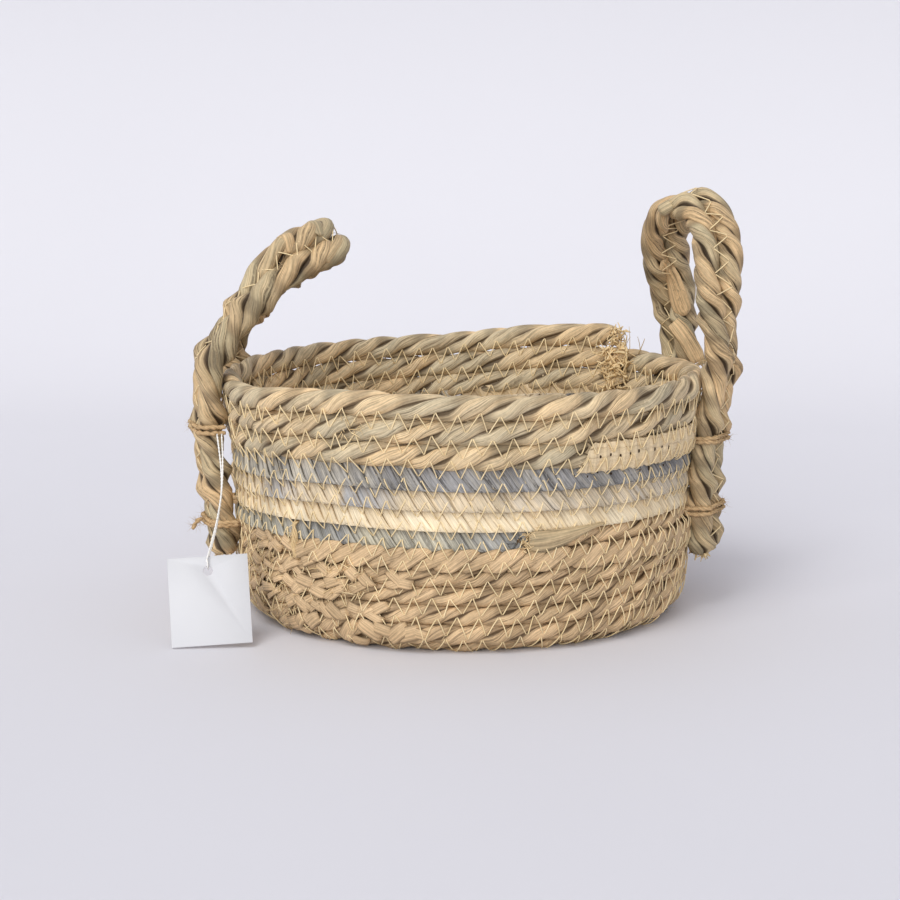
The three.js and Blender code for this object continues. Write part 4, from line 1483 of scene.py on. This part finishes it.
for name, place in hairy_places:
    tubes = left_ends if name == "left" else right_ends
    points, forward, across, through = strap_path(handles[name])
    level = int(np.argmin(np.abs(path_lengths(points) - place)))
    for number in range(hairs_per_place):
        way = unit(end_draw.normal(size=3) + through[level] * 0.8)
        start = points[level] + across[level] * end_draw.uniform(-0.0075, 0.0075) + through[level] * 0.0048
        bend = end_draw.normal(size=3) * 0.4
        loose_fibre(tubes, start, way, bend, end_draw.uniform(0.002, 0.006), 0.00016, end_draw)
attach(left_ends.to_object("left_handle_leaf_ends", handle_leaf), "left_handle")
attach(right_ends.to_object("right_handle_leaf_ends", handle_leaf), "right_handle")

# %% [markdown]
# ## Twine ties
# Each leg is held by rough jute twine: two windings round the strap that pass through the wall.
# The twine is two twisted plies, and short hairs stand out of it all along.

# %% Windings and hairs
twine_radius = 0.0013
twine_twist = 0.0075
tie_windings = 2
foot_fibres = 36
tail_route = [(-0.126, -0.020, 0.0455), (-0.1285, -0.0215, 0.0440), (-0.1305, -0.0215, 0.0405)]


def tie_line(handle, to_rear, height, winding, draw):
    """Route of one winding: out of the wall, round both ropes of the strap, and back into the wall."""
    points, outward, inward = leg_line(handle, to_rear)
    level = np.argmin(np.abs(points[:, 2] - height))
    middle, outward, inward = points[level].copy(), outward[level], inward[level]
    turn = math.radians(handle["leg_turn"]) if to_rear < 0 else 0
    across = inward * math.cos(turn) + outward * math.sin(turn)
    middle += outward * rope_offset * math.sin(turn)
    middle[2] = height + (winding - (tie_windings - 1) / 2) * twine_radius * 1.8
    ropes = (middle - across * rope_offset, middle + across * rope_offset)
    reach = rope_radius + twine_radius * 0.6
    tilt = draw.uniform(-0.0008, 0.0008)
    line = []
    for angle in np.radians(np.linspace(205, -25, 17)):
        way = inward * math.cos(angle) + outward * math.sin(angle)
        rope = max(ropes, key=lambda place: float(np.dot(place, way)))
        point = rope + way * (reach + draw.uniform(0, 0.0003))
        point[2] += tilt * math.cos(angle) + draw.uniform(-0.0002, 0.0002)
        line.append(point)
    return smooth_path([line[0] - outward * 0.004, *line, line[-1] - outward * 0.004], 5)


def add_hairs(tubes, points, count, reach, draw, radius, body_radius=0.0012):
    """Short fibres that leave a path in all directions and curl a little."""
    for _ in range(count):
        start = points[draw.integers(2, len(points) - 2)]
        way = unit(draw.normal(size=3))
        bend = unit(np.cross(way, draw.normal(size=3)))
        share = np.linspace(0, 1, 5)[:, None]
        span = reach * draw.uniform(0.4, 1.0)
        line = start + way * (share * span + body_radius * 0.5) + bend * share**2 * span * draw.uniform(0, 0.5)
        line[:, 2] = np.maximum(line[:, 2], 0.0003)
        tubes.add(round_rings(line, radius * (1.1 - share[:, 0]), 3, bend), draw.uniform(0.1, 0.9))


hair_draw = np.random.default_rng(12)
foot_fray = Tubes()
for handle in handles.values():
    for to_rear in (-1, 1):
        points, outward, inward = leg_line(handle, to_rear)
        for number in range(foot_fibres):
            start = points[0] + inward[0] * hair_draw.uniform(-0.010, 0.010)
            start = start + outward[0] * hair_draw.uniform(-0.003, 0.004) + (0, 0, 0.0006)
            way = unit(np.array((0, 0, -1.0)) + hair_draw.normal(size=3) * 0.25)
            bend = hair_draw.normal(size=3) * 0.2
            span = hair_draw.uniform(0.0015, 0.0042)
            loose_fibre(foot_fray, start, way, bend, span, hair_draw.uniform(0.0003, 0.0008), hair_draw)
foot_fray.to_object("handle_foot_fray", fray_finish, "basket")
for name, handle in handles.items():
    for leg, to_rear in (("front", -1), ("rear", 1)):
        for level_name, height in zip(("upper", "lower"), handle["ties"]):
            tubes = Tubes()
            for winding in range(tie_windings):
                line = tie_line(handle, to_rear, height, winding, hair_draw)
                tubes.add(plied_rings(line, twine_radius, twine_twist, 8), 0.4)
                add_hairs(tubes, line, 60, 0.005, hair_draw, 0.00008)
            if (name, leg, level_name) == ("left", "front", "lower"):
                tail = smooth_path(tail_route, 5)
                tubes.add(plied_rings(tail, twine_radius * 0.9, twine_twist, 8), 0.4)
                add_hairs(tubes, tail, 50, 0.005, hair_draw, 0.0001)
            piece = tubes.to_object(f"{name}_{leg}_{level_name}_twine", twine_finish, "basket", "twine")
            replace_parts(piece, f"{name}_{leg}_{level_name}_tie")
